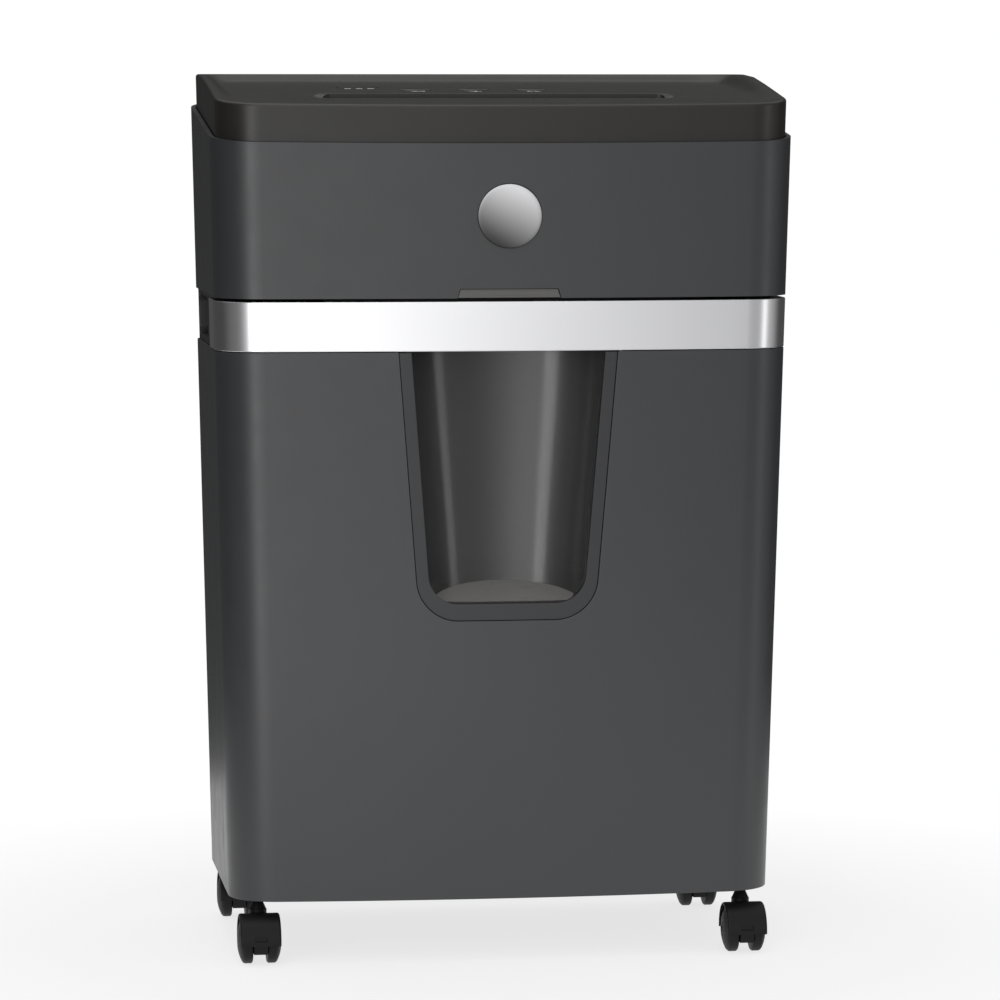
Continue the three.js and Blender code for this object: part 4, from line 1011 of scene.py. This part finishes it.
def castorHood():
    c, hub = castor, (0, -castor["trail"], castor["wheel"])
    bm = bmesh.new()
    start = bm.verts.new((-c["hoodHalf"], -c["trail"] + c["hoodIn"], c["wheel"]))
    other = bm.verts.new((-c["hoodHalf"], -c["trail"] + c["hoodOut"], c["wheel"]))
    edge = bm.edges.new((start, other))
    bmesh.ops.rotate(bm, verts=bm.verts, cent=hub, matrix=Matrix.Rotation(math.radians(-5), 3, "X"))
    bmesh.ops.spin(bm, geom=[start, other, edge], cent=hub, axis=(1, 0, 0), dvec=(0, 0, 0),
                   angle=math.radians(c["hoodTurn"]), steps=40, use_merge=False)
    merged(bm)
    drawnOut(bm, (2 * c["hoodHalf"], 0, 0))
    rim = [e for e in bm.edges if abs(e.verts[0].co.x - e.verts[1].co.x) < 1e-4 and len(e.link_faces) == 2
           and e.calc_face_angle(0) > 1.2]
    outer = [e for e in rim
             if min((v.co - Vector((v.co.x, *hub[1:]))).length for v in e.verts) > c["hoodIn"] + 0.5]
    bevelEdges(bm, outer, c["hoodRound"], 4)
    web = rod(c["hoodIn"] + 0.5, -c["web"], c["web"], "x", 72, hub)
    sliced(web, (0, 0, c["webFoot"]), (0, 0, -1), clear=True)
    stem = turned([[0, 24], [6, 24], [6, 34.6], [5.4, 35.5], [3.4, 40], [c["stem"], 41.5],
                   [c["stem"], c["stemTop"]], [0, c["stemTop"]]], "z", 40)
    axle = rod(c["axle"], -c["hoodHalf"], c["hoodHalf"], "x", 24, hub)
    return bm, web, stem, axle


def castorWheel(side):
    c = castor
    near, far = c["web"] + c["play"], c["web"] + c["play"] + c["width"]
    r, bore = c["wheel"], c["axle"] + c["play"]
    profile = [[bore, near], [r - 0.8, near], [r, near + 0.8], [r, far - 4.6], [r - 0.25, far - 3.9],
               [r - 0.9, far - 3.2], [r - 1.7, far - 2.6], [r - 2.1, far - 2.7], [r - 2.4, far - 2.3],
               [r - 4.2, far - 1.5], [r - 6.5, far - 0.75], [r - 9, far - 0.2], [5.2, far - 0.1],
               [4.8, far - 0.5], [4.2, far - 0.5], [3.8, far], [bore, far]]
    return turned([[radius, side * x] for radius, x in profile], "x", 64, (0, -c["trail"], c["wheel"]))


def moveCastor(bm, x, y, turn):
    bmesh.ops.rotate(bm, verts=bm.verts, cent=(0, 0, 0), matrix=Matrix.Rotation(turn, 3, "Z"))
    bmesh.ops.translate(bm, verts=bm.verts, vec=(x, y, 0))
    return bm


def makeCastors():
    c = castor
    spots = {
        "front_left": (-c["x"], c["frontY"], 0), "front_right": (c["x"], c["frontY"], 0),
        "rear_left": (-c["x"], c["rearY"], math.pi), "rear_right": (c["x"], c["rearY"], math.pi),
    }
    for name, (x, y, turn) in spots.items():
        label = "castor" + name.title().replace("_", "")
        fender, web, stem, axle = (moveCastor(bm, x, y, turn) for bm in castorHood())
        face = -c["trail"] - c["hoodOut"]
        mark = block(-c["markHalf"], c["markHalf"], face - 1, face + c["markDeep"], c["markLow"],
                     c["markHigh"], round=0.6, along="y")
        carved = [([web, stem, axle], "UNION"), ([moveCastor(mark, x, y, turn)], "DIFFERENCE")]
        addPiece(label + "Hood", fender, castorBlack, "castor_" + name, "castor_black",
                 [f"castor_{name}_hood"], edge=0.35, carved=carved)
        for side, word in ((-1, "left"), (1, "right")):
            wheel, body = moveCastor(castorWheel(side), x, y, turn), f"castor_{name}_wheel_{word}"
            addPiece(label + "Wheel" + word.capitalize(), wheel, wheelBlack, body, "castor_wheel", [body],
                     edge=0, angle=50)


makeCastors()
print("castors made")


finishes = (
    (blackPart, ("head_base", "stripper_front", "stripper_rear", "throat_guide", "cabinet_base",
                 "interlock_switch")),
    (boardGreen, ("control_board", "power_board")),
    (rolledSteel, ("transformer", "side_plate_left", "side_plate_right", "gear_plate", "tie_rod_front",
                   "tie_rod_rear", "motor_case", "motor_rotor")),
    (cutterSteel, ("cutter_front", "cutter_rear", "cutter_gear_front", "cutter_gear_rear", "drive_gear")),
    (bronze, ("bush_front_left", "bush_front_right", "bush_rear_left", "bush_rear_right")),
    (whiteNylon, ("second_gear", "first_gear", "sensor_lever", "interlock_plunger")),
)
for finish, names in finishes:
    for name in names:
        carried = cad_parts[name]
        if not carried.material_slots:
            carried.data.materials.append(finish)
        for slot in carried.material_slots:
            slot.material = finish
print("carried-over pieces finished")


studio = {
    "lobe": 16, "lobeStrength": 1.4, "lobePower": 9, "left": 0.16, "room": 0.46, "behind": 0.06, "above": 0.8,
    "floorRadius": 0.8, "fadeFrom": 0.3, "fadeTo": 0.62, "glow": 0.75,
    # Each lamp: where it stands, what it points at, its width and height in metres, and its power.
    "lamps": {
        "topLight": ((-0.2, -0.1, 2.2), (0, 0, 0.5), 1.8, 1.4, 7),
        "leftStrip": ((-1.5, -2.3, 0.5), (0, 0, 0.4), 0.65, 1.6, 8),
        "rightStrip": ((2.3, -1.1, 0.5), (0, 0, 0.4), 0.5, 1.6, 3),
    },
}
view = {"place": (-0.42029, -3.15195, 0.58149), "yaw": 0.1355, "pitch": 0.0877, "lens": 167.39, "sensor": 36}


def makeFloor():
    # A pale disc that fades into the white room at its edge.
    bm = bmesh.new()
    bmesh.ops.create_circle(bm, segments=96, radius=studio["floorRadius"], cap_ends=True)
    floor = newObject("floor", bm)
    material, tree, shader, vector = newMaterial("paleFloor")
    cloud = spread(tree, noise(tree, vector, 1.4, 2), 0.0, 1.0)
    wire(tree, shader, {"Base Color": mixColour(tree, cloud, (0.9, 0.9, 0.9, 1), (0.93, 0.93, 0.93, 1))})
    shader.inputs["Roughness"].default_value = 0.9
    reach = node(tree, "ShaderNodeVectorMath", {0: vector}, operation="LENGTH").outputs["Value"]
    glow = node(tree, "ShaderNodeEmission", Strength=1.0)
    both = tree.nodes.new("ShaderNodeMixShader")
    fade = ramp(tree, reach, studio["fadeFrom"], studio["fadeTo"], studio["glow"])
    wire(tree, both, {0: fade, 1: shader.outputs[0], 2: glow.outputs[0]})
    wire(tree, tree.nodes["Material Output"], {"Surface": both.outputs[0]})
    floor.data.materials.append(material)


def softbox(name, place, target, width, height, power):
    data = bpy.data.lights.new(name, "AREA")
    data.shape = "RECTANGLE"
    data.size, data.size_y, data.energy = width, height, power
    lamp = bpy.data.objects.new(name, data)
    lamp.location = place
    lamp.rotation_euler = (Vector(target) - Vector(place)).to_track_quat("-Z", "Y").to_euler()
    scene.collection.objects.link(lamp)


def makeWorld():
    # White where the camera sees it. For the object, a room with one broad light in front, and darker
    # to its left.
    world = bpy.data.worlds.new("room")
    scene.world = world
    world.use_nodes = True
    tree = world.node_tree
    background = tree.nodes["Background"]
    where = node(tree, "ShaderNodeTexCoord").outputs["Generated"]
    axis = node(tree, "ShaderNodeSeparateXYZ", {"Vector": where})
    level = node(tree, "ShaderNodeVectorMath", {0: where}, operation="MULTIPLY")
    level.inputs[1].default_value = (1, 1, 0)
    flat = node(tree, "ShaderNodeVectorMath", {0: level.outputs[0]}, operation="NORMALIZE")
    angle = math.radians(studio["lobe"])
    toward = node(tree, "ShaderNodeVectorMath", {0: flat.outputs[0]}, operation="DOT_PRODUCT")
    toward.inputs[1].default_value = (-math.sin(angle), -math.cos(angle), 0)
    facing = calc(tree, "MAXIMUM", toward.outputs["Value"], 0.0)
    lobe = calc(tree, "MULTIPLY", calc(tree, "POWER", facing, studio["lobePower"]), studio["lobeStrength"])
    ahead = ramp(tree, axis.outputs["X"], -0.85, -0.35, studio["left"], studio["room"])
    behind = ramp(tree, axis.outputs["Z"], 0.4, 0.7, studio["behind"], studio["above"])
    isBehind = ramp(tree, axis.outputs["Y"], -0.1, 0.35)
    room = calc(tree, "ADD", calc(tree, "MULTIPLY", ahead, calc(tree, "SUBTRACT", 1.0, isBehind)),
                calc(tree, "MULTIPLY", behind, isBehind))
    total = calc(tree, "ADD", lobe, room)
    total = calc(tree, "MULTIPLY", total, ramp(tree, axis.outputs["Z"], -0.45, -0.22, 0.2, 1.0))
    seen = node(tree, "ShaderNodeLightPath").outputs["Is Camera Ray"]
    strength = tree.nodes.new("ShaderNodeMix")
    wire(tree, strength, {0: seen, 2: total})
    strength.inputs[3].default_value = 1.02
    wire(tree, background, {"Strength": strength.outputs[0]})
    background.inputs["Color"].default_value = (1, 1, 1, 1)


makeFloor()
makeWorld()
for name, lamp in studio["lamps"].items():
    softbox(name, *lamp)

cameraData = bpy.data.cameras.new("camera")
cameraData.sensor_width = view["sensor"]
cameraData.lens = view["lens"]
camera = bpy.data.objects.new("camera", cameraData)
camera.location = view["place"]
camera.rotation_euler = (math.pi / 2 - view["pitch"], 0, -view["yaw"])
scene.collection.objects.link(camera)
scene.camera = camera
scene.view_settings.view_transform = "Standard"
print("stage, light and camera made")
